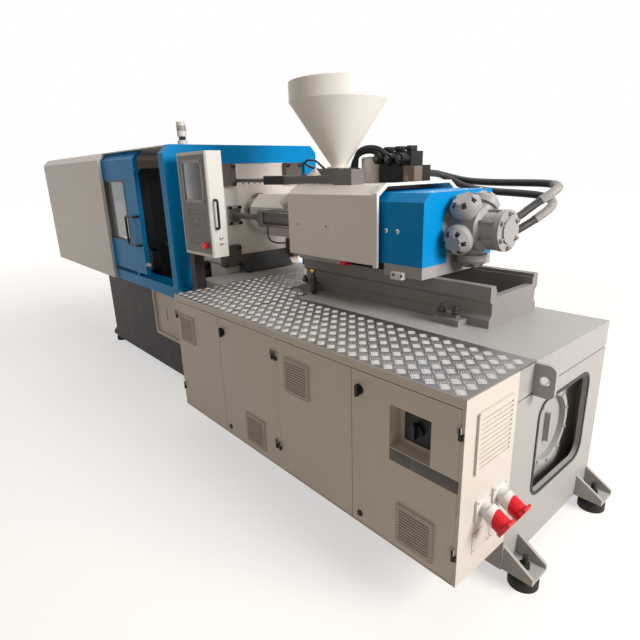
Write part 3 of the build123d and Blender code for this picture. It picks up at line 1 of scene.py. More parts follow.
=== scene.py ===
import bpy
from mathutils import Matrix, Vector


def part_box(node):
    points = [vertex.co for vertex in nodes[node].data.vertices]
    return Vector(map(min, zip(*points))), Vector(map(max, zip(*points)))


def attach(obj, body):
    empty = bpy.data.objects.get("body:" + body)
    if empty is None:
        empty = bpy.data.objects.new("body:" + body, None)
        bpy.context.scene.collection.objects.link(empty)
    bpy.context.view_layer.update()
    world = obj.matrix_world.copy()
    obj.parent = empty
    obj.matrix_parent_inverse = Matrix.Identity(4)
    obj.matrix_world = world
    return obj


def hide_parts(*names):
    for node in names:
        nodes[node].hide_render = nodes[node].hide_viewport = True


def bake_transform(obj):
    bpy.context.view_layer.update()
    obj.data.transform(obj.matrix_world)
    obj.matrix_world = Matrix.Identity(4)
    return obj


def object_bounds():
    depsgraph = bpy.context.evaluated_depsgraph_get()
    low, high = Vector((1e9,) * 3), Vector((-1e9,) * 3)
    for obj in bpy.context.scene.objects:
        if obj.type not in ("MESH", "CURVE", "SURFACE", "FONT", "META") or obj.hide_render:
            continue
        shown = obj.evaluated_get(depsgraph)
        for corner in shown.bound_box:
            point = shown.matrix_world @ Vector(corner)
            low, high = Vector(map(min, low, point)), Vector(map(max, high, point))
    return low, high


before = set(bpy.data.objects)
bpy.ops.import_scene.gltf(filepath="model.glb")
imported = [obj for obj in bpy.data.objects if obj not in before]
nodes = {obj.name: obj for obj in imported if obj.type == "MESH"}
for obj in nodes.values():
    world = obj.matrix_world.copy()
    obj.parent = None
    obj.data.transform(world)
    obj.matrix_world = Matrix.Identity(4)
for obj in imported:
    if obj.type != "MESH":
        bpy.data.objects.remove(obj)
cadBox = [list(corner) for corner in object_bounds()]

from math import cos, pi, radians, sin
import bpy
from mathutils import Matrix, Vector

endX, axisY, axisZ, frontY = 2.375, 0.111, 1.175, -0.672  # injection end, machine axis, cabinet face


# shader wires: sums on sockets become math nodes

class Wire:
    def __init__(self, finish, out):
        self.finish = finish
        self.out = out

    def sum(self, operation, other, flip=False):
        pair = (other, self) if flip else (self, other)
        return self.finish.add("ShaderNodeMath", {"operation": operation}, dict(enumerate(pair)))

    def __add__(self, other):
        return self.sum("ADD", other)

    def __radd__(self, other):
        return self.sum("ADD", other, True)

    def __sub__(self, other):
        return self.sum("SUBTRACT", other)

    def __rsub__(self, other):
        return self.sum("SUBTRACT", other, True)

    def __mul__(self, other):
        return self.sum("MULTIPLY", other)

    def __rmul__(self, other):
        return self.sum("MULTIPLY", other, True)

    def __gt__(self, other):
        return self.sum("GREATER_THAN", other)

    def __lt__(self, other):
        return self.sum("LESS_THAN", other)


class Finish:
    def __init__(self, name, **fixed):
        self.material = bpy.data.materials.new(name)
        self.material.use_nodes = True
        self.tree = self.material.node_tree
        self.shader = self.tree.nodes["Principled BSDF"]
        for socket, value in fixed.items():
            self.shader.inputs[socket.replace("_", " ")].default_value = value
        self.place = self.add("ShaderNodeTexCoord", {}, {}, "Object")

    def add(self, kind, settings, sockets, out=0):
        node = self.tree.nodes.new(kind)
        for key, value in settings.items():
            if key == "stops":
                ramp = node.color_ramp.elements
                while len(ramp) < len(value):
                    ramp.new(0.5)
                for element, (position, grey) in zip(ramp, value):
                    element.position = position
                    element.color = (grey, grey, grey, 1)
            else:
                setattr(node, key, value)
        for key, value in sockets.items():
            if isinstance(value, Wire):
                self.tree.links.new(value.out, node.inputs[key])
            else:
                node.inputs[key].default_value = value
        return Wire(self, node.outputs[out])

    def feed(self, socket, wire):
        self.tree.links.new(wire.out, self.shader.inputs[socket])

    def stretched(self, scale):
        return self.add("ShaderNodeMapping", {}, {"Vector": self.place, "Scale": scale})

    def noise(self, scale, detail=3.0, rough=0.5, vector=None):
        sockets = {"Vector": vector or self.place, "Scale": scale, "Detail": detail, "Roughness": rough}
        return self.add("ShaderNodeTexNoise", {}, sockets, "Fac")

    def ramp(self, wire, *stops):
        return self.add("ShaderNodeValToRGB", {"stops": stops}, {"Fac": wire})

    def mix(self, factor, first, second):
        return self.add("ShaderNodeMix", {"data_type": "RGBA"}, {0: factor, 6: first, 7: second}, 2)

    def bump(self, height, strength, distance):
        sockets = {"Height": height, "Strength": strength, "Distance": distance}
        self.feed("Normal", self.add("ShaderNodeBump", {}, sockets))

    def inside(self, low, high):
        split = self.add("ShaderNodeSeparateXYZ", {}, {0: self.place})
        mask = None
        for out, start, stop in zip(split.out.node.outputs, low, high):
            axis = Wire(self, out)
            tests = [] if start is None else [axis > start]
            if stop is not None:
                tests.append(axis < stop)
            for test in tests:
                mask = test if mask is None else mask * test
        return mask


def shade(colour, factor):
    return tuple(min(1.0, c * factor) for c in colour[:3]) + (1,)


# satin machine paint: slow cloud in the colour, faint orange peel, dusty patches; zones repaint boxes of it
def paint(name, colour, rough=0.42, cloud=0.06, dust=0.06, zones=(), gloss=0.22):
    f = Finish(name, Metallic=0.0, Specular_IOR_Level=gloss)
    slow = f.noise(2.3, 4)
    tone = f.mix(slow, shade(colour, 1 - cloud), shade(colour, 1 + cloud))
    spots = f.ramp(f.noise(9, 6, 0.62), (0.52, 0.0), (0.78, 1.0))
    tone = f.mix(spots * dust, tone, (0.42, 0.40, 0.36, 1))
    sheen = rough + (f.noise(14, 4) - 0.5) * 0.16
    for low, high, zoneColour, zoneRough in zones:
        mask = f.inside(low, high)
        tone = f.mix(mask, tone, shade(zoneColour, 1))
        sheen = sheen + mask * (zoneRough - rough)
    f.feed("Base Color", tone)
    f.feed("Roughness", sheen)
    f.bump(f.noise(420, 2), 0.07, 0.0006)
    return f


# cast iron or steel with a worked grain along one direction
def metal(name, colour, rough, grain=(40, 40, 40), depth=0.1, mottle=0.12, full=1.0):
    f = Finish(name, Metallic=full)
    lines = f.noise(1, 5, 0.6, f.stretched(grain))
    patches = f.noise(6, 5, 0.6)
    f.feed("Base Color", f.mix(patches, shade(colour, 1 - mottle), shade(colour, 1 + mottle)))
    f.feed("Roughness", rough + (lines - 0.5) * 0.22 + (patches - 0.5) * 0.14)
    f.bump(lines, depth, 0.0006)
    return f


def castPaint(name, colour, rough=0.5, dust=0.10):
    f = Finish(name, Metallic=0.0, Specular_IOR_Level=0.3)
    slow = f.noise(5, 4)
    tone = f.mix(slow, shade(colour, 0.88), shade(colour, 1.1))
    grime = f.ramp(f.noise(16, 6, 0.66), (0.54, 0.0), (0.76, 1.0))
    f.feed("Base Color", f.mix(grime * dust, tone, (0.05, 0.05, 0.045, 1)))
    f.feed("Roughness", rough + (f.noise(30, 3) - 0.5) * 0.2)
    f.bump(f.noise(130, 4, 0.6), 0.28, 0.0016)
    return f


def plastic(name, colour, rough, grain=600, depth=0.12, coat=0.0, zones=()):
    f = Finish(name, Metallic=0.0, Specular_IOR_Level=0.25, Coat_Weight=coat)
    tone = f.mix(f.noise(22, 3), shade(colour, 0.92), shade(colour, 1.08))
    sheen = rough + (f.noise(45, 4) - 0.5) * 0.12
    for low, high, zoneColour, zoneRough in zones:
        mask = f.inside(low, high)
        tone = f.mix(mask, tone, shade(zoneColour, 1))
        sheen = sheen + mask * (zoneRough - rough)
    f.feed("Base Color", tone)
    f.feed("Roughness", sheen)
    f.bump(f.noise(grain, 2), depth, 0.0004)
    return f


def rubber(name, colour, rough=0.6, wrap=0.0):
    f = Finish(name, Metallic=0.0, Specular_IOR_Level=0.3)
    f.feed("Base Color", f.mix(f.noise(60, 4), shade(colour, 0.7), shade(colour, 1.5)))
    f.feed("Roughness", rough + (f.noise(35, 4) - 0.5) * 0.2)
    weave = f.noise(900, 2)
    if wrap:
        sockets = {"Vector": f.place, "Scale": wrap}
        rings = f.add("ShaderNodeTexWave", {"bands_direction": "DIAGONAL"}, sockets, "Fac")
        weave = weave * 0.3 + rings
    f.bump(weave, 0.3, 0.0012)
    return f


skyBlue, offWhite, panelGrey = (0.0005, 0.25, 0.585), (0.84, 0.785, 0.73), (0.64, 0.585, 0.52)
# clamp bed: painted near-black as painted shade, though it is the base's grey; the panel post shares that dark
# grey as its own colour
paleGrey, darkAndBedShadeGrey, black = (0.40, 0.385, 0.365), (0.050, 0.046, 0.047), (0.012, 0.012, 0.013)
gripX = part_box("panel_fascia")[1].x + 0.0165
doorEdge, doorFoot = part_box("front_door")[1].x - 0.0215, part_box("front_door")[0].z
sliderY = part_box("thrust_plate")[0].y + 0.0255
platenX = endX - 2.060  # face of the stationary platen
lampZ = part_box("light_tower")[0].z
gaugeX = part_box("transducer")[1].x - 0.033
lidRed = (0.62, 0.012, 0.02)

finishes = {
    "bluePaint": paint("bluePaint", skyBlue, 0.36, 0.05, 0.03, gloss=0.10),
    "doorPaint": paint("doorPaint", skyBlue, 0.36, 0.05, 0.03, zones=(
        ((doorEdge, None, None), (None, None, doorFoot + 0.2), (0.75, 0.74, 0.70), 0.4),), gloss=0.10),
    "whitePaint": paint("whitePaint", offWhite, 0.40, 0.035, 0.05),
    "platenPaint": paint("platenPaint", offWhite, 0.40, 0.035, 0.05, zones=(
        ((platenX + 0.0005, None, None), (None, None, None), (0.15, 0.14, 0.13), 0.34),)),
    # clamp cover: the left end is blue, but this zone paints it dark navy, so the darkness is painted shade
    "coverPaint": paint("coverPaint", offWhite, 0.40, 0.035, 0.05, zones=(
        ((None, None, None), (cadBox[0][0] + 0.012, None, None), (0.012, 0.07, 0.20), 0.36),)),
    "cabinetPaint": paint("cabinetPaint", panelGrey, 0.42, 0.03, 0.05, zones=(
        ((None, None, None), (None, frontY - 0.0005, 0.80), black, 0.45),)),
    "cabinetDoorPaint": paint("cabinetDoorPaint", panelGrey, 0.42, 0.03, 0.05, zones=(
        ((None, frontY - 0.0083, None), (None, frontY - 0.003, None), shade(panelGrey, 0.74)[:3], 0.5),
        ((None, None, None), (None, frontY - 0.0085, None), black, 0.45),
        ((endX - 1.312, None, 0.205), (endX - 1.282, frontY - 0.0005, 0.2375), black, 0.45),
        ((endX - 0.422, None, 0.205), (endX - 0.392, frontY - 0.0005, 0.2375), black, 0.45),
        ((endX - 0.246, frontY + 0.0425, 0.58), (endX - 0.138, frontY + 0.0549, 0.69), black, 0.35),)),
    "basePaint": paint("basePaint", paleGrey, 0.44, 0.05, 0.10),
    "darkAndBedShadePaint": paint("darkAndBedShadePaint", darkAndBedShadeGrey, 0.46, 0.10, 0.05, gloss=0.12),
    "panelPaint": paint("panelPaint", (0.80, 0.78, 0.72), 0.38, 0.03, 0.03, zones=(
        ((gripX, None, None), (None, None, None), black, 0.4),)),
    "creamPaint": paint("creamPaint", (0.90, 0.86, 0.79), 0.36, 0.03, 0.02),
    # near-black finish: on the moving platen it is painted shade of the dark mould space, on the foot guard
    # the sheet's own black
    "blackAndInnerShade": castPaint("blackAndInnerShade", (0.040, 0.039, 0.040), 0.5, 0.10),
    "blockSteel": castPaint("blockSteel", (0.105, 0.088, 0.078), 0.46, 0.12),
    "motorPaint": castPaint("motorPaint", (0.37, 0.355, 0.345), 0.40, 0.06),
    "castGrey": castPaint("castGrey", (0.27, 0.25, 0.24), 0.52, 0.16),
    "treadMetal": metal("treadMetal", (0.30, 0.28, 0.265), 0.38, (3, 160, 160), 0.06, 0.16),
    # tread bars: a lighter steel than the plate, painted highlight on the raised bars
    "treadBarHighlight": metal("treadBarHighlight", (0.42, 0.395, 0.375), 0.46, (60, 60, 60), 0.04, 0.08),
    "brass": metal("brass", (0.62, 0.36, 0.10), 0.30, (90, 90, 90), 0.05, 0.10),
    "seatSteel": metal("seatSteel", (0.20, 0.185, 0.17), 0.42, (4, 120, 120), 0.08, 0.14, 0.7),
    "steel": metal("steel", (0.52, 0.52, 0.52), 0.34, (2, 180, 180), 0.08),
    "rodChrome": metal("rodChrome", (0.72, 0.73, 0.74), 0.12, (60, 4, 4), 0.02, 0.04),
    "darkSteel": metal("darkSteel", (0.05, 0.046, 0.042), 0.46, (60, 60, 60), 0.12, 0.2, 0.6),
    "blackPlastic": plastic("blackPlastic", black, 0.44),
    "greyPlastic": plastic("greyPlastic", (0.42, 0.42, 0.41), 0.46),
    "redPlastic": plastic("redPlastic", lidRed, 0.28, coat=0.3),
    "hoseRubber": rubber("hoseRubber", (0.030, 0.028, 0.027), 0.46, 34),
    "wireRubber": rubber("wireRubber", (0.014, 0.014, 0.015), 0.42),
    "sleeve": rubber("sleeve", (0.30, 0.285, 0.265), 0.55, 60),
    "tanPlastic": plastic("tanPlastic", (0.17, 0.13, 0.105), 0.5),
    "screenGlass": plastic("screenGlass", (0.055, 0.058, 0.060), 0.16, coat=0.6),
    "keyPlastic": plastic("keyPlastic", (0.30, 0.295, 0.285), 0.42),
    "padRubber": rubber("padRubber", (0.02, 0.02, 0.02), 0.7),
    "lampPlastic": plastic("lampPlastic", (0.82, 0.80, 0.76), 0.35, coat=0.2, zones=(
        ((None, None, lampZ + 0.024), (None, None, lampZ + 0.044), black, 0.5),
        ((None, None, lampZ + 0.074), (None, None, lampZ + 0.104), (0.38, 0.36, 0.36), 0.2),)),
    "gaugeMetal": plastic("gaugeMetal", (0.30, 0.30, 0.30), 0.4, zones=(
        ((gaugeX, None, None), (None, None, None), (0.70, 0.01, 0.03), 0.3),)),
    "chutePaint": paint("chutePaint", (0.17, 0.155, 0.14), 0.44, 0.08, 0.05, zones=(
        ((None, None, None), (None, axisY - 0.0605, None), (0.82, 0.78, 0.70), 0.36),)),
    "thrustPaint": paint("thrustPaint", (0.37, 0.355, 0.345), 0.40, 0.05, 0.06, zones=(
        ((None, None, None), (None, sliderY, None), (0.78, 0.75, 0.70), 0.4),)),
    "socketPlastic": plastic("socketPlastic", (0.70, 0.68, 0.64), 0.42, zones=(
        ((endX + 0.052, None, None), (None, None, None), lidRed, 0.3),)),
    "seatPaint": paint("seatPaint", (0.19, 0.18, 0.17), 0.42, 0.10, 0.08, zones=(
        ((None, None, 1.30), (endX - 1.53, None, None), (0.035, 0.033, 0.031), 0.4),)),
    "stripSheet": plastic("stripSheet", (0.115, 0.110, 0.105), 0.4),
    "fasciaSheet": plastic("fasciaSheet", (0.20, 0.20, 0.195), 0.36, 300, 0.08),
}

clear = Finish("clearWindow", Metallic=0.0, Roughness=0.04, IOR=1.45)
clear.shader.inputs["Base Color"].default_value = (0.62, 0.70, 0.74, 1)
clear.shader.inputs["Transmission Weight"].default_value = 1.0
finishes["clearWindow"] = clear
print("finishes ready:", len(finishes))

wearing = {
    "bluePaint": "portal_guard guard_rails rear_door motor_cover",
    "doorPaint": "front_door",
    "whitePaint": "tailstock barrel_guard injection_cover",
    "platenPaint": "stationary_platen",
    # moving platen: near-black as painted shade of the mould space
    "blackAndInnerShade": "moving_platen",
    "coverPaint": "clamp_cover",
    "cabinetPaint": "cabinet_shell bed_access_panel",
    "cabinetDoorPaint": "cabinet_door_1 cabinet_door_2 cabinet_door_3 cabinet_door_4",
    "basePaint": "injection_base",
    # clamp bed: near-black as painted shade of the base's grey
    "darkAndBedShadePaint": "clamp_bed panel_post",
    "panelPaint": "control_panel",
    "creamPaint": "hopper",
    "motorPaint": "hydraulic_motor",
    "thrustPaint": "thrust_plate",
    "chutePaint": "hopper_base",
    "seatPaint": "seat_cylinders",
    "castGrey": "slide_casting feed_block clamp_cylinder rear_link_upper "
                "front_link_upper drive_link_upper rear_link_lower front_link_lower drive_link_lower",
    "treadMetal": "tread_plates",
    "steel": "crosshead ejector barrel screw",
    "rodChrome": "tie_bars",
    "blockSteel": "tie_bar_blocks",
    "blackPlastic": "door_lock_left door_lock_right mains_knob front_handle shutter_gate valve_block",
    "greyPlastic": "control_gear",
    "socketPlastic": "power_sockets",
    "redPlastic": "socket_lid_1 socket_lid_2 emergency_stop",
    "padRubber": "levelling_pads",
    "hoseRubber": "motor_hoses",
    "lampPlastic": "light_tower canister",
    "gaugeMetal": "transducer",
    "fasciaSheet": "panel_fascia",
    "clearWindow": "front_window",
}
for finishName, names in wearing.items():
    for name in names.split():
        slots = nodes[name].data.materials
        slots.clear()
        slots.append(finishes[finishName].material)
print("solids dressed:", sum(len(names.split()) for names in wearing.values()))


# modelling helpers

def clearPick():
    if bpy.context.object and bpy.context.object.mode != "OBJECT":
        bpy.ops.object.mode_set(mode="OBJECT")
    bpy.ops.object.select_all(action="DESELECT")


def latest(name):
    piece = bpy.context.object
    piece.name = name
    piece.data.name = name
    return piece


def settle(piece):
    clearPick()
    piece.select_set(True)
    bpy.context.view_layer.objects.active = piece
    bpy.ops.object.transform_apply(location=True, rotation=True, scale=True)


def pickFaces(piece, test):
    bpy.ops.object.mode_set(mode="OBJECT")
    for face in piece.data.polygons:
        face.select = test(face)
    for edge in piece.data.edges:
        edge.select = False
    for vertex in piece.data.vertices:
        vertex.select = False
    for face in piece.data.polygons:
        if face.select:
            for index in face.vertices:
                piece.data.vertices[index].select = True
    bpy.ops.object.mode_set(mode="EDIT")
    bpy.ops.mesh.select_mode(type="FACE")


def bevelled(piece, width, segments=2, angle=40):
    settle(piece)
    modifier = piece.modifiers.new("edge", "BEVEL")
    modifier.width = width
    modifier.segments = segments
    modifier.limit_method = "ANGLE"
    modifier.angle_limit = radians(angle)
    bpy.ops.object.modifier_apply(modifier=modifier.name)
    bpy.ops.object.shade_smooth_by_angle(angle=radians(35))


def slab(name, low, high, edge=0.002, segments=2):
    low, high = Vector(low), Vector(high)
    clearPick()
    bpy.ops.mesh.primitive_cube_add(size=1, location=(low + high) / 2)
    piece = latest(name)
    piece.scale = high - low
    bevelled(piece, edge, segments)
    return piece


def aim(point, way):
    turn = Vector((0, 0, 1)).rotation_difference(Vector(way).normalized())
    return Matrix.Translation(Vector(point)) @ turn.to_matrix().to_4x4()


def upright(name, radius, height, sides):
    middle = (0, 0, height / 2)
    clearPick()
    bpy.ops.mesh.primitive_cylinder_add(vertices=sides, radius=radius, depth=height, location=middle)
    return latest(name)


def drum(name, point, way, radius, height, edge=0.001, sides=32):
    piece = upright(name, radius, height, sides)
    bevelled(piece, edge)
    piece.matrix_world = aim(point, way)
    settle(piece)
    return piece


def copies(master, name, places):
    clearPick()
    for there in places:
        twin = bpy.data.objects.new(name, master.data.copy())
        bpy.context.collection.objects.link(twin)
        twin.data.transform(there)
        twin.select_set(True)
        bpy.context.view_layer.objects.active = twin
    bpy.ops.object.join()
    piece = latest(name)
    bpy.data.objects.remove(master)
    return piece


def joined(name, pieces):
    clearPick()
    for piece in pieces:
        piece.select_set(True)
    bpy.context.view_layer.objects.active = pieces[0]
    bpy.ops.object.join()
    return latest(name)


def place(piece, body, finishName):
    piece.data.materials.clear()
    piece.data.materials.append(finishes[finishName].material)
    if body:
        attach(piece, body)
    return piece


def scatter(master, name, spots, body, finishName):
    return place(copies(master, name, spots), body, finishName)


def capScrew(radius, height, sides=20):
    piece = upright("capScrew", radius, height, sides)
    bevelled(piece, radius * 0.14, 2)
    pickFaces(piece, lambda face: face.normal.z > 0.9 and face.center.z > height * 0.9)
    bpy.ops.mesh.inset(thickness=radius * 0.42)
    bpy.ops.mesh.extrude_region_move(TRANSFORM_OT_translate={"value": (0, 0, -height * 0.55)})
    bpy.ops.object.mode_set(mode="OBJECT")
    return piece


def hexBolt(radius, height):
    piece = upright("hexBolt", radius, height, 6)
    pickFaces(piece, lambda face: face.normal.z > 0.9)
    bpy.ops.mesh.inset(thickness=radius * 0.16)
    bpy.ops.transform.translate(value=(0, 0, height * 0.10))
    bpy.ops.object.mode_set(mode="OBJECT")
    bevelled(piece, radius * 0.05, 1, 25)
    return piece


def spot(x, y, z):
    return Vector((endX + x, axisY + y, z))  # x from the injection end, y from the machine axis


def onFront(point):
    return Matrix.Translation(Vector(point)) @ Matrix(((1, 0, 0), (0, 0, -1), (0, 1, 0))).to_4x4()


def onEnd(point):
    return Matrix.Translation(Vector(point)) @ Matrix(((0, 0, 1), (1, 0, 0), (0, 1, 0))).to_4x4()


def ringPlate(name, at, size, corner, width, thick):
    clearPick()
    bpy.ops.mesh.primitive_plane_add(size=1)
    piece = latest(name)
    piece.scale = (*size, 1)
    settle(piece)
    bpy.ops.object.mode_set(mode="EDIT")
    bpy.ops.mesh.select_all(action="SELECT")
    bpy.ops.mesh.bevel(offset=corner, segments=6, affect="VERTICES")
    bpy.ops.mesh.select_all(action="SELECT")
    bpy.ops.mesh.inset(thickness=width)
    bpy.ops.mesh.delete(type="FACE")
    bpy.ops.mesh.select_all(action="SELECT")
    bpy.ops.mesh.extrude_region_move(TRANSFORM_OT_translate={"value": (0, 0, thick)})
    bpy.ops.mesh.select_all(action="SELECT")
    bpy.ops.mesh.normals_make_consistent(inside=False)
    bpy.ops.object.mode_set(mode="OBJECT")
    bevelled(piece, min(thick, width) * 0.2)
    piece.matrix_world = at
    settle(piece)
    return piece


def tube(name, points, radius, sides=8):
    curve = bpy.data.curves.new(name, "CURVE")
    curve.dimensions = "3D"
    spline = curve.splines.new("NURBS")
    spline.points.add(len(points) - 1)
    for point, co in zip(spline.points, points):
        point.co = (*co, 1)
    spline.order_u = 3
    spline.use_endpoint_u = True
    spline.resolution_u = 10
    curve.bevel_depth = radius
    curve.bevel_resolution = sides // 2
    curve.use_fill_caps = True
    piece = bpy.data.objects.new(name, curve)
    bpy.context.collection.objects.link(piece)
    clearPick()
    piece.select_set(True)
    bpy.context.view_layer.objects.active = piece
    bpy.ops.object.convert(target="MESH")
    piece = latest(name)
    bpy.ops.object.shade_smooth()
    return piece


# tread plate: lens bars in fives, turned a quarter from one patch to the next
tread = {"pitch": 0.0537, "length": 0.0335, "width": 0.0054, "height": 0.0016, "gap": 0.0074, "margin": 0.026,
         "left": endX - 1.780, "split": endX - 1.243, "depth": 0.400, "turns": (45, 135)}
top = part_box("tread_plates")[1].z


def treadPatch(name, turn):
    clearPick()
    bpy.ops.mesh.primitive_uv_sphere_add(segments=8, ring_count=4, radius=1)
    bar = latest(name)
    bar.scale = (tread["length"] / 2, tread["width"] / 2, tread["height"])
    settle(bar)
    bpy.ops.object.mode_set(mode="EDIT")
    bpy.ops.mesh.select_all(action="SELECT")
    bpy.ops.mesh.bisect(plane_co=(0, 0, 0), plane_no=(0, 0, 1), clear_inner=True)
    bpy.ops.object.mode_set(mode="OBJECT")
    bpy.ops.object.shade_smooth()
    spin = Matrix.Rotation(radians(turn), 4, "Z")
    return copies(bar, name, [spin @ Matrix.Translation((0, (k - 2) * tread["gap"], 0)) for k in range(5)])


def treadOffset(turn):
    return tread["pitch"] / 2 if turn > 90 else 0


groups = []
halves = (("treadBarsLeft", tread["left"], tread["split"]), ("treadBarsRight", tread["split"], endX))
for plate, lowX, highX in halves:
    for turn in tread["turns"]:
        patch = treadPatch(plate, turn)
        offset = treadOffset(turn)
        patch.location = (lowX + tread["margin"] + offset, frontY + tread["margin"] + offset, top)
        settle(patch)
        spanX = highX - lowX - 2 * tread["margin"] - offset
        spanY = tread["depth"] - 2 * tread["margin"] - offset
        for name, span, step in (("along", spanX, (1, 0, 0)), ("across", spanY, (0, 1, 0))):
            array = patch.modifiers.new(name, "ARRAY")
            array.use_relative_offset = False
            array.use_constant_offset = True
            array.constant_offset_displace = Vector(step) * tread["pitch"]
            array.count = int(span / tread["pitch"]) + 1
            bpy.ops.object.modifier_apply(modifier=array.name)
        groups.append(patch)
    # the bars wear the lighter steel: painted highlight
    place(joined(plate, groups[-2:]), "machine", "treadBarHighlight")

# the left plate runs on over the deck, past the end of the casting
deck = {"left": -1.780, "waist": -1.412, "right": -1.246, "shelf": -0.300, "back": 0.185, "thick": 0.005,
        "columns": 11, "rows": (6, 18), "ease": 0.010, "clear": 0.016, "lap": 0.030}
seamY = frontY + tread["depth"] - axisY
under = top - deck["thick"]
wide = slab("deckPlate", spot(deck["left"], seamY, under), spot(deck["waist"], deck["back"], top), 0.0006)
narrow = slab("deckPlate", spot(deck["waist"], seamY, under), spot(deck["right"], deck["shelf"], top), 0.0006)
place(joined("deckPlate", [wide, narrow]), "machine", "treadMetal")
groups = []
for turn in tread["turns"]:
    offset = tread["margin"] + treadOffset(turn)
    spots = []
    for column in range(deck["columns"]):
        for row in range(*deck["rows"]):
            x = deck["left"] + offset + column * tread["pitch"]
            y = frontY - axisY + offset + row * tread["pitch"]
            reach = deck["back"] if x < deck["waist"] - deck["ease"] else deck["shelf"]
            onPlate = x < deck["right"] - deck["clear"] and y < reach - deck["clear"]
            if onPlate and y > seamY - deck["lap"]:
                spots.append(Matrix.Translation(spot(x, y, top)))
    groups.append(copies(treadPatch("treadBarsDeck", turn), "treadBarsDeck", spots))
place(joined("treadBarsDeck", groups), "machine", "treadBarHighlight")
print("tread bars laid")

# fasteners, each kind modelled once
pocket = {"out": 0.138, "ring": 0.043, "count": 6, "radius": 0.0065, "height": 0.011, "arms": 5, "first": 36}
star = Vector((endX - 0.492, axisY, axisZ))
spots = []
for index in range(pocket["arms"]):
    turn = radians(pocket["first"] + index * 360 / pocket["arms"])
    way = Vector((0, -sin(turn), cos(turn)))
    side = Vector((0, cos(turn), sin(turn)))
    for k in range(pocket["count"]):
        around = radians(360 / pocket["count"] * k)
        arm = Vector((cos(around), 0, 0)) + side * sin(around)
        spots.append(aim(star + way * pocket["out"] + arm * pocket["ring"], way))
screw = capScrew(pocket["radius"], pocket["height"])
scatter(screw, "motorHeadScrews", spots, "injection", "darkSteel")

flange = {"x": endX - 0.336, "ring": 0.068, "count": 6, "first": 30, "radius": 0.0095, "height": 0.012}
spots = []
for k in range(flange["count"]):
    turn = radians(flange["first"] + 360 / flange["count"] * k)
    y, z = axisY + flange["ring"] * cos(turn), axisZ + flange["ring"] * sin(turn)
    spots.append(aim((flange["x"], y, z), (1, 0, 0)))
screw = capScrew(flange["radius"], flange["height"])
scatter(screw, "valveFlangeScrews", spots, "injection", "motorPaint")

ribs = {"low": (-0.424, -0.008, 0.066), "high": (-0.3605, 0.008, 0.0825), "turns": (0, 60, 120, 180)}
rib = slab("rib", ribs["low"], ribs["high"], 0.004, 3)
centre = Matrix.Translation((endX, axisY, axisZ))
spots = [centre @ Matrix.Rotation(radians(turn), 4, "X") for turn in ribs["turns"]]
scatter(rib, "valveRibs", spots, "injection", "motorPaint")

slider = {"xs": (-0.684, -0.640), "y": -0.288, "z": 0.995, "radius": 0.006, "height": 0.003}
spots = [aim(spot(x, slider["y"], slider["z"]), (0, -1, 0)) for x in slider["xs"]]
screw = capScrew(slider["radius"], slider["height"])
scatter(screw, "sliderScrews", spots, "injection", "darkSteel")

barBlock = {"x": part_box("tie_bar_blocks")[1].x, "outY": 0.260, "outZ": 0.245, "reach": 0.050,
            "radius": 0.0125, "height": 0.012}
spots = []
for sideY in (-1, 1):
    for sideZ in (-1, 1):
        for dy, dz in ((-1, -1), (1, -1), (-1, 1), (1, 1)):
            y = axisY + sideY * barBlock["outY"] + dy * barBlock["reach"]
            z = axisZ + sideZ * barBlock["outZ"] + dz * barBlock["reach"]
            spots.append(aim((barBlock["x"], y, z), (1, 0, 0)))
screw = capScrew(barBlock["radius"], barBlock["height"])
scatter(screw, "tieBarScrews", spots, "machine", "darkSteel")

hoodFace = {"xs": (-0.749, -0.686), "y": -0.262, "z": 1.174, "radius": 0.0105, "height": 0.004}
spots = [aim(spot(x, hoodFace["y"], hoodFace["z"]), (0, -1, 0)) for x in hoodFace["xs"]]
screw = capScrew(hoodFace["radius"], hoodFace["height"])
scatter(screw, "hoodScrews", spots, "injection", "steel")

coverFace = {"xs": (-1.312, -1.101), "y": -0.286, "z": 1.1748, "radius": 0.012, "height": 0.004}
spots = [aim(spot(x, coverFace["y"], coverFace["z"]), (0, -1, 0)) for x in coverFace["xs"]]
screw = capScrew(coverFace["radius"], coverFace["height"])
scatter(screw, "coverScrews", spots, "carriage", "whitePaint")

# rear and far end of the clamp cover
rear = {"xs": (-2.40, -2.10, -1.80, -1.50), "zs": (0.71, 1.50), "ys": (-0.39, -0.03, 0.25, 0.61),
        "radius": 0.011, "height": 0.004}
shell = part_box("clamp_cover")
spots = [aim((x, shell[1].y, z), (0, 1, 0)) for x in rear["xs"] for z in rear["zs"]]
spots += [aim((shell[0].x, y, z), (-1, 0, 0)) for y in rear["ys"] for z in rear["zs"]]
screw = capScrew(rear["radius"], rear["height"])
scatter(screw, "clampCoverScrews", spots, "machine", "steel")
print("fasteners placed")

# control panel: screen with its surround, keypad, key locks on the side
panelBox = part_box("panel_fascia")
panelY = panelBox[0].y
screen = {"x": -1.892, "z": 1.392, "size": (0.232, 0.224), "corner": 0.008, "border": 0.016, "proud": 0.004,
          "lap": 0.012, "glass": (0.002, 0.0002)}
middle = spot(screen["x"], 0, screen["z"])
middle.y = panelY
size = screen["size"]
bezel = ringPlate("screenBezel", onFront(middle), size, screen["corner"], screen["border"], screen["proud"])
place(bezel, "panel", "greyPlastic")
half = Vector((size[0] / 2 - screen["lap"], 0, size[1] / 2 - screen["lap"]))
front, back = (Vector((0, proud, 0)) for proud in screen["glass"])
glass = slab("screenGlass", middle - half - front, middle + half - back, 0.0006)
place(glass, "panel", "screenGlass")

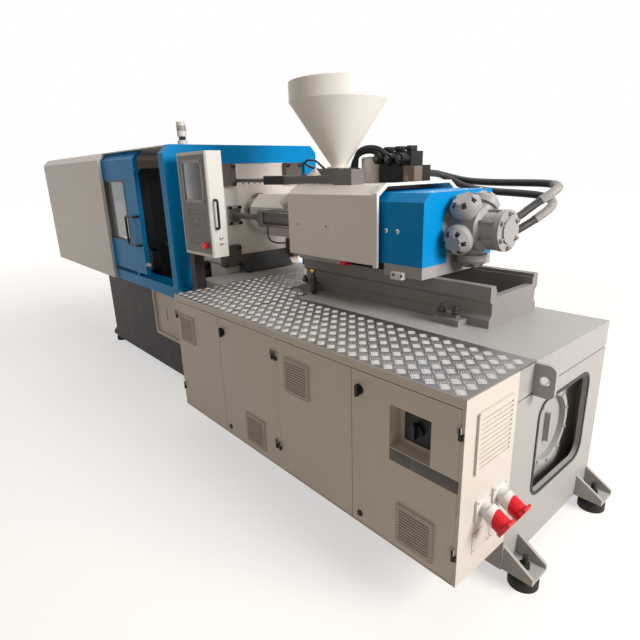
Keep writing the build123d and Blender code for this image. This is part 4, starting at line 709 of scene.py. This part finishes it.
keypad = {"cols": 9, "rows": 8, "left": -1.986, "low": 1.052, "stepX": 0.0232, "stepZ": 0.0265,
          "width": 0.016, "height": 0.017, "proud": 0.0022}
half = Vector((keypad["width"] / 2, keypad["height"] / 2, 0))
key = slab("key", -half, half + Vector((0, 0, keypad["proud"])), 0.0007)
spots = []
for row in range(keypad["rows"]):
    for col in range(keypad["cols"]):
        point = spot(keypad["left"] + col * keypad["stepX"], 0, keypad["low"] + row * keypad["stepZ"])
        point.y = panelY
        nearStop = col > 5 and row < 2  # room for the stop button
        bare = row == 5 and col in (3, 4)
        if not nearStop and not bare:
            spots.append(onFront(point))
scatter(key, "panelKeys", spots, "panel", "keyPlastic")

caseSide = panelBox[1].x + 0.016
keyLock = {"y": panelY + 0.052, "zs": (1.092, 1.063), "radius": 0.0075, "height": 0.014}
spots = [aim((caseSide, keyLock["y"], z), (1, 0, 0)) for z in keyLock["zs"]]
lock = capScrew(keyLock["radius"], keyLock["height"])
scatter(lock, "panelKeyLocks", spots, "panel", "steel")
print("panel fitted")

# cabinet: blanking plates, vent dots, bare strip, socket screws
plates = {"low": 0.257, "high": 0.334, "spans": ((-0.703, -0.604), (-0.602, -0.540)),
          "thick": 0.0018, "inset": 0.010}
parts, spots = [], []
for low, high in plates["spans"]:
    corner, far = spot(0, low, plates["low"]), spot(plates["thick"], high, plates["high"])
    parts.append(slab("blankingPlate", corner, far, 0.0005))
    for y in (low + plates["inset"], high - plates["inset"]):
        for z in (plates["low"] + plates["inset"], plates["high"] - plates["inset"]):
            spots.append(aim(spot(plates["thick"], y, z), (1, 0, 0)))
place(joined("blankingPlates", parts), "machine", "cabinetPaint")
sockets = {"ys": (frontY + 0.121, frontY + 0.218), "z": 0.415, "reach": 0.032, "face": endX + 0.008,
           "radius": 0.0036, "height": 0.0018}
for y in sockets["ys"]:
    for dy in (-1, 1):
        for dz in (-1, 1):
            point = (sockets["face"], y + dy * sockets["reach"], sockets["z"] + dz * sockets["reach"])
            spots.append(aim(point, (1, 0, 0)))
screw = capScrew(sockets["radius"], sockets["height"], 12)
scatter(screw, "endFaceScrews", spots, "machine", "steel")

# vent holes on the end face, drawn as black dots: painted shade inside the holes
vents = {"y": -0.518, "low": 0.552, "step": 0.0088, "count": 21, "radius": 0.0026, "height": 0.0008}
spots = [aim(spot(0, vents["y"], vents["low"] + k * vents["step"]), (1, 0, 0)) for k in range(vents["count"])]
vent = drum("ventHoleShade", (0, 0, 0), (0, 0, 1), vents["radius"], vents["height"], 0.0003, 12)
scatter(vent, "ventHoleShade", spots, "machine", "blackPlastic")

strip = {"spans": ((-0.271, -0.182), (-0.180, -0.010)), "low": 0.513, "high": 0.556, "thick": 0.0012}
parts = []
for low, high in strip["spans"]:
    corner, far = spot(low, 0, strip["low"]), spot(high, 0, strip["high"])
    corner.y, far.y = frontY - strip["thick"], frontY
    parts.append(slab("doorStrip", corner, far, 0.0004))
place(joined("doorStrip", parts), "door_4", "stripSheet")
print("cabinet fitted")

# rubber seals round the windows, bolts on the tank hatch
hatch = {"x": -0.042, "y": -0.108, "z": 0.455, "ring": 0.140, "count": 10, "radius": 0.0065, "height": 0.006}
endSeal = {"size": (0.437, 0.392), "corner": 0.066, "width": 0.013, "thick": 0.003}
window = onEnd(spot(0, hatch["y"], hatch["z"]))
place(ringPlate("endWindowSeal", window, **endSeal), "machine", "wireRubber")
spots = []
for k in range(hatch["count"]):
    turn = 2 * pi * (k + 0.5) / hatch["count"]
    point = spot(hatch["x"], hatch["y"] + hatch["ring"] * cos(turn), hatch["z"] + hatch["ring"] * sin(turn))
    spots.append(aim(point, (1, 0, 0)))
scatter(hexBolt(hatch["radius"], hatch["height"]), "hatchBolts", spots, "machine", "steel")

doorSeal = {"corner": 0.034, "width": 0.012, "thick": 0.002}
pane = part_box("front_window")
middle = (pane[0] + pane[1]) / 2
middle.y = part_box("front_door")[0].y
size = (pane[1].x - pane[0].x + doorSeal["width"], pane[1].z - pane[0].z + doorSeal["width"])
seal = ringPlate("doorWindowSeal", onFront(middle), size, **doorSeal)
place(seal, "operator_door", "wireRubber")
print("seals fitted")

# machine axis: bolts on the platen flange, clamp feet and upper seat block
rodFlange = {"y": -0.205, "z": 1.178, "half": (0.047, 0.060), "thick": 0.014, "inset": 0.012,
             "radius": 0.0105, "height": 0.014}
wide, tall = rodFlange["half"]
low = Vector((platenX, axisY + rodFlange["y"] - wide, rodFlange["z"] - tall))
high = low + Vector((rodFlange["thick"], 2 * wide, 2 * tall))
place(slab("rodFlangePlate", low, high, 0.004, 3), "machine", "motorPaint")
spots = []
for y in (low.y + rodFlange["inset"], high.y - rodFlange["inset"]):
    for z in (low.z + rodFlange["inset"], high.z - rodFlange["inset"]):
        spots.append(aim((high.x, y, z), (1, 0, 0)))
screw = capScrew(rodFlange["radius"], rodFlange["height"])
scatter(screw, "rodFlangeBolts", spots, "machine", "blackPlastic")

# black sloped sheet at the platen's foot, with a folded lip on the deck
footGuard = {"at": (-2.0205, 0.0, 0.876), "length": 0.124, "half": 0.185, "thick": 0.003,
             "slope": 55, "lip": 0.014}
reach = Vector((footGuard["length"] / 2, footGuard["half"], footGuard["thick"] / 2))
guard = slab("footGuard", -reach, reach, 0.0008)
pickFaces(guard, lambda face: face.normal.x > 0.9)
fold = (footGuard["lip"] / 2, 0, footGuard["lip"])
bpy.ops.mesh.extrude_region_move(TRANSFORM_OT_translate={"value": fold})
bpy.ops.object.mode_set(mode="OBJECT")
tilt = Matrix.Rotation(radians(footGuard["slope"]), 4, "Y")
guard.matrix_world = Matrix.Translation(spot(*footGuard["at"])) @ tilt
settle(guard)
place(guard, "machine", "blackAndInnerShade")

clampFeet = {"xs": (-1.311, -0.441), "y": -0.231, "z": 0.862, "apart": 0.034, "nut": 0.017,
             "nutHeight": 0.015, "stud": 0.009, "rise": 0.034}
nut = hexBolt(clampFeet["nut"], clampFeet["nutHeight"])
stud = drum("stud", (0, 0, 0), (0, 0, 1), clampFeet["stud"], clampFeet["rise"], 0.0015, 20)
spots = []
for x in clampFeet["xs"]:
    for side in (-1, 1):
        spots.append(Matrix.Translation(spot(x + side * clampFeet["apart"], clampFeet["y"], clampFeet["z"])))
scatter(joined("clampStud", [nut, stud]), "clampStuds", spots, "machine", "darkSteel")

seatBlock = {"xs": (-1.112, -1.014), "ys": (-0.205, -0.151), "z": 1.430, "radius": 0.006, "height": 0.004}
spots = [aim(spot(x, y, seatBlock["z"]), (0, 0, 1)) for x in seatBlock["xs"] for y in seatBlock["ys"]]
screw = capScrew(seatBlock["radius"], seatBlock["height"])
scatter(screw, "seatBlockScrews", spots, "carriage", "darkSteel")

# tapped holes on the platen face, drawn as black discs: painted shade inside the holes
tapped = {"ys": (-0.120, -0.077, -0.034, 0.009), "z": 1.366, "radius": 0.0055, "height": 0.0012}
spots = [aim((platenX, axisY + y, tapped["z"]), (1, 0, 0)) for y in tapped["ys"]]
dot = drum("platenHoleShade", (0, 0, 0), (0, 0, 1), tapped["radius"], tapped["height"], 0.0003, 16)
scatter(dot, "platenHoleShade", spots, "machine", "blackPlastic")

# seat cylinder: square heads, stay rods and the wire below it
ram = {"y": -0.205, "z": 1.178, "half": 0.046, "thick": 0.034, "rod": 0.0065, "reach": 0.0365,
       "gap": 0.052, "proud": 0.010, "wire": 0.0042}
tubeLeft = spot(-1.722, 0, 0).x
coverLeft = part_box("injection_cover")[0].x
parts = []
headSize = Vector((ram["thick"], 2 * ram["half"], 2 * ram["half"]))
for x in (tubeLeft, coverLeft - ram["gap"]):
    low = Vector((x, axisY + ram["y"] - ram["half"], ram["z"] - ram["half"]))
    parts.append(slab("ramHead", low, low + headSize, 0.004, 3))
for dy in (-1, 1):
    for dz in (-1, 1):
        start = (tubeLeft - ram["proud"], axisY + ram["y"] + dy * ram["reach"], ram["z"] + dz * ram["reach"])
        parts.append(drum("ramRod", start, (1, 0, 0), ram["rod"], coverLeft - tubeLeft, 0.001, 16))
place(joined("ramHeads", parts), "carriage", "seatSteel")
wire = ((-1.640, -0.246, 1.140), (-1.640, -0.250, 1.105), (-1.636, -0.250, 1.070),
        (-1.600, -0.246, 1.052), (-1.540, -0.240, 1.050), (-1.470, -0.230, 1.060))
ramWire = tube("ramWire", [spot(*point) for point in wire], ram["wire"])
place(ramWire, "carriage", "wireRubber")

hoodTop = {"x": -0.572, "ys": (-0.19, -0.07, 0.05, 0.17), "z": 1.330, "radius": 0.006, "height": 0.0035}
spots = [aim(spot(hoodTop["x"], y, hoodTop["z"]), (0, 0, 1)) for y in hoodTop["ys"]]
screw = capScrew(hoodTop["radius"], hoodTop["height"])
scatter(screw, "hoodTopScrews", spots, "injection", "steel")
print("bolts fitted")

# hydraulics on top of the cover: coil nuts, plugs, tan terminal box, black hoses over the canister
coils = {"xs": (-1.086, -1.014, -0.942), "y": 0.0443, "z": 1.473, "radius": 0.016, "height": 0.011}
spots = [aim(spot(x, coils["y"], coils["z"]), (0, -1, 0)) for x in coils["xs"]]
nut = hexBolt(coils["radius"], coils["height"])
scatter(nut, "coilNuts", spots, "carriage", "darkSteel")
plugs = {"low": (-0.016, -0.024, 0), "high": (0.016, 0.024, 0.026), "y": 0.140, "z": 1.506,
         "inset": 0.004, "step": (0, -0.010, 0)}
plug = slab("plug", plugs["low"], plugs["high"], 0.003)
pickFaces(plug, lambda face: face.normal.y < -0.9)
bpy.ops.mesh.inset(thickness=plugs["inset"])
bpy.ops.mesh.extrude_region_move(TRANSFORM_OT_translate={"value": plugs["step"]})
bpy.ops.object.mode_set(mode="OBJECT")
spots = [Matrix.Translation(spot(x, plugs["y"], plugs["z"])) for x in coils["xs"]]
scatter(plug, "valvePlugs", spots, "carriage", "blackPlastic")

tanBox = {"low": (-0.905, 0.032, 1.360), "high": (-0.838, 0.092, 1.436), "inset": 0.006, "step": (0, 0.004, 0)}
terminal = slab("terminalBox", spot(*tanBox["low"]), spot(*tanBox["high"]), 0.003)
pickFaces(terminal, lambda face: face.normal.y < -0.9 and face.area > 0.001)
bpy.ops.mesh.inset(thickness=tanBox["inset"])
bpy.ops.mesh.extrude_region_move(TRANSFORM_OT_translate={"value": tanBox["step"]})
bpy.ops.object.mode_set(mode="OBJECT")
place(terminal, "carriage", "tanPlastic")

# route points and radius of each cord on the cover
cords = {
    "arcHoseFront": (0.0135, (
        (-1.262, 0.078, 1.362), (-1.262, 0.076, 1.450), (-1.238, 0.062, 1.512), (-1.175, 0.060, 1.534),
        (-1.100, 0.070, 1.528), (-1.060, 0.078, 1.500), (-1.050, 0.100, 1.484))),
    "arcHoseBack": (0.0135, (
        (-1.300, 0.082, 1.362), (-1.298, 0.084, 1.440), (-1.268, 0.096, 1.504), (-1.205, 0.100, 1.520),
        (-1.150, 0.102, 1.514), (-1.128, 0.108, 1.492), (-1.118, 0.110, 1.462))),
    "hopperCable": (0.0062, (
        (-1.374, -0.030, 1.426), (-1.440, -0.022, 1.462), (-1.500, 0.000, 1.484), (-1.580, 0.004, 1.488),
        (-1.602, 0.006, 1.470), (-1.560, 0.004, 1.452), (-1.500, 0.000, 1.440), (-1.440, -0.006, 1.428),
        (-1.374, -0.012, 1.426))),
}
for name, (radius, route) in cords.items():
    place(tube(name, [spot(*point) for point in route], radius), "carriage", "wireRubber")

# screwed fittings on the deck by the casting's left end
fitting = {"x": -1.232, "y": -0.270, "radius": 0.011, "nut": 0.017, "nutHeight": 0.014, "parts": (
    ("fittingPipe", "darkSteel", 0.818, 0.112, (0.020, 0.074)),
    ("fittingNuts", "brass", 0.930, 0.018, (0.004,)),
)}
for name, finishName, low, height, rises in fitting["parts"]:
    foot = spot(fitting["x"], fitting["y"], low)
    pieces = [drum(name, foot, (0, 0, 1), fitting["radius"], height, 0.0015, 20)]
    for rise in rises:
        nut = hexBolt(fitting["nut"], fitting["nutHeight"])
        nut.location = foot + Vector((0, 0, rise))
        settle(nut)
        pieces.append(nut)
    place(joined(name, pieces), "machine", finishName)
print("cover hydraulics fitted")

# motor hoses: the CAD routes as smooth splines, crimped ends, pale sleeves on the outer bends
routes = {
    "upper": ((0.396, 0.0883, 0.027), (0.396, 0.160, 0.027), (0.362, 0.248, 0.084), (0.310, 0.312, 0.136),
              (0.314, 0.382, 0.158), (0.392, 0.426, 0.168), (0.520, 0.440, 0.170), (0.680, 0.442, 0.172),
              (0.820, 0.440, 0.180), (0.920, 0.420, 0.205), (0.977, 0.370, 0.227), (0.977, 0.2003, 0.227)),
    "lower": ((0.396, 0.0883, -0.027), (0.396, 0.152, -0.027), (0.374, 0.236, 0.004), (0.326, 0.308, 0.056),
              (0.326, 0.370, 0.092), (0.398, 0.402, 0.116), (0.520, 0.412, 0.124), (0.670, 0.412, 0.131),
              (0.800, 0.405, 0.150), (0.888, 0.386, 0.194), (0.933, 0.340, 0.227), (0.933, 0.2003, 0.227)),
}
hoseSize = {"radius": 0.017, "sleeve": 0.0195, "crimp": (0.0225, 0.052), "nut": (0.0265, 0.018)}
bend = {"start": spot(-0.46, 0.43, 1.34), "end": spot(-0.90, 0.43, 1.34)}
hoses, sleeves, motorEnds, valveEnds = [], [], [], []
for name, route in routes.items():
    points = [spot(-back, side, axisZ + rise) for back, side, rise in route]
    hoses.append(tube(name, points, hoseSize["radius"], 10))
    covered = [points[2].lerp(points[3], 0.35), points[3], points[4], points[4].lerp(points[5], 0.55)]
    sleeves.append(tube(name + "Sleeve", covered, hoseSize["sleeve"], 10))
    for ends, tip in ((motorEnds, points[0]), (valveEnds, points[-1])):
        ends.append(drum(name, tip, (0, 1, 0), *hoseSize["crimp"], 0.003))
        ends.append(drum(name, tip, (0, 1, 0), *hoseSize["nut"], 0.002, 6))
# the hoses bend between two bodies, so they ride on neither
motorHoses = place(joined("motorHoses", hoses), None, "hoseRubber")
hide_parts("motor_hoses")
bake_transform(motorHoses)
place(joined("hoseSleeves", sleeves), "injection", "sleeve")
place(joined("motorFerrules", motorEnds), "injection", "steel")
place(joined("valveFerrules", valveEnds), "carriage", "steel")
print("hoses routed")

# camera solved from the photo
shot = {"place": (3.01926, -1.74879, 1.4224), "yaw": 139.064, "pitch": -17.234, "roll": 1.7465,
        "lens": 27.389, "shift": (-0.0003, 0.0045)}
yaw, pitch, roll = (radians(shot[key]) for key in ("yaw", "pitch", "roll"))
ahead = Vector((cos(yaw) * cos(pitch), sin(yaw) * cos(pitch), sin(pitch)))
right = Vector((sin(yaw), -cos(yaw), 0))
down = ahead.cross(right)
right, down = right * cos(roll) + down * sin(roll), down * cos(roll) - right * sin(roll)
camera = bpy.data.cameras.new("camera")
camera.lens = shot["lens"]
camera.sensor_width = 36
camera.shift_x, camera.shift_y = shot["shift"]
camera.clip_start = 0.05
eye = bpy.data.objects.new("camera", camera)
bpy.context.collection.objects.link(eye)
eye.matrix_world = Matrix.Translation(shot["place"]) @ Matrix((right, -down, -ahead)).transposed().to_4x4()
bpy.context.scene.camera = eye

# studio: pale floor, white surround, soft lamps
clearPick()
bpy.ops.mesh.primitive_plane_add(size=60, location=(0, 0, 0))
floor = latest("floor")
floorFinish = Finish("paleFloor", Roughness=0.8, Emission_Strength=1.0)
floorFinish.shader.inputs["Base Color"].default_value = (0.48, 0.44, 0.40, 1)
# the camera, glossy and clear surfaces see a pale floor that keeps the shadow
rays = floorFinish.add("ShaderNodeLightPath", {}, {}, "Is Camera Ray")
seen = rays
for kind in ("Is Glossy Ray", "Is Transmission Ray"):
    seen = seen.sum("MAXIMUM", Wire(floorFinish, rays.out.node.outputs[kind]))
away = floorFinish.add("ShaderNodeVectorMath", {"operation": "LENGTH"}, {0: floorFinish.place}, "Value")
glow = floorFinish.ramp(away * 0.05, (0.14, 0.56), (0.45, 0.93))
floorFinish.feed("Emission Color", floorFinish.mix(seen, (0, 0, 0, 1), glow))
floor.data.materials.append(floorFinish.material)

world = bpy.data.worlds.new("studio")
bpy.context.scene.world = world
world.use_nodes = True
sky = world.node_tree
backdrop = sky.nodes["Background"]
rays = sky.nodes.new("ShaderNodeLightPath")
tint = sky.nodes.new("ShaderNodeMix")
tint.data_type = "RGBA"
tint.inputs[6].default_value = (0.23, 0.195, 0.165, 1)  # warm hall light on the object
tint.inputs[7].default_value = (1, 1, 1, 1)  # white behind it
seen = rays.outputs["Is Camera Ray"]
for kind in ("Is Glossy Ray", "Is Transmission Ray"):
    either = sky.nodes.new("ShaderNodeMath")
    either.operation = "MAXIMUM"
    sky.links.new(seen, either.inputs[0])
    sky.links.new(rays.outputs[kind], either.inputs[1])
    seen = either.outputs[0]
sky.links.new(seen, tint.inputs[0])
sky.links.new(tint.outputs[2], backdrop.inputs["Color"])

lamps = {
    "keyLamp": {"at": (6.4, 0.8, 3.2), "to": (1.6, 0, 0.9), "size": 2.4, "power": 330},
    "fillLamp": {"at": (-1.2, -5.4, 3.2), "to": (0.3, 0, 0.9), "size": 3.4, "power": 16},
    "topLamp": {"at": (0.6, 1.2, 5.6), "to": (0.4, 0.4, 0.9), "size": 4.0, "power": 115},
    "backLamp": {"at": (-3.5, 4.6, 3.6), "to": (-0.5, 0, 1.0), "size": 3.0, "power": 70},
}
for name, lamp in lamps.items():
    light = bpy.data.lights.new(name, "AREA")
    light.size = lamp["size"]
    light.energy = lamp["power"]
    holder = bpy.data.objects.new(name, light)
    bpy.context.collection.objects.link(holder)
    holder.location = lamp["at"]
    holder.rotation_euler = (Vector(lamp["to"]) - Vector(lamp["at"])).to_track_quat("-Z", "Y").to_euler()
bpy.context.scene.view_settings.view_transform = "Standard"
print("studio set")
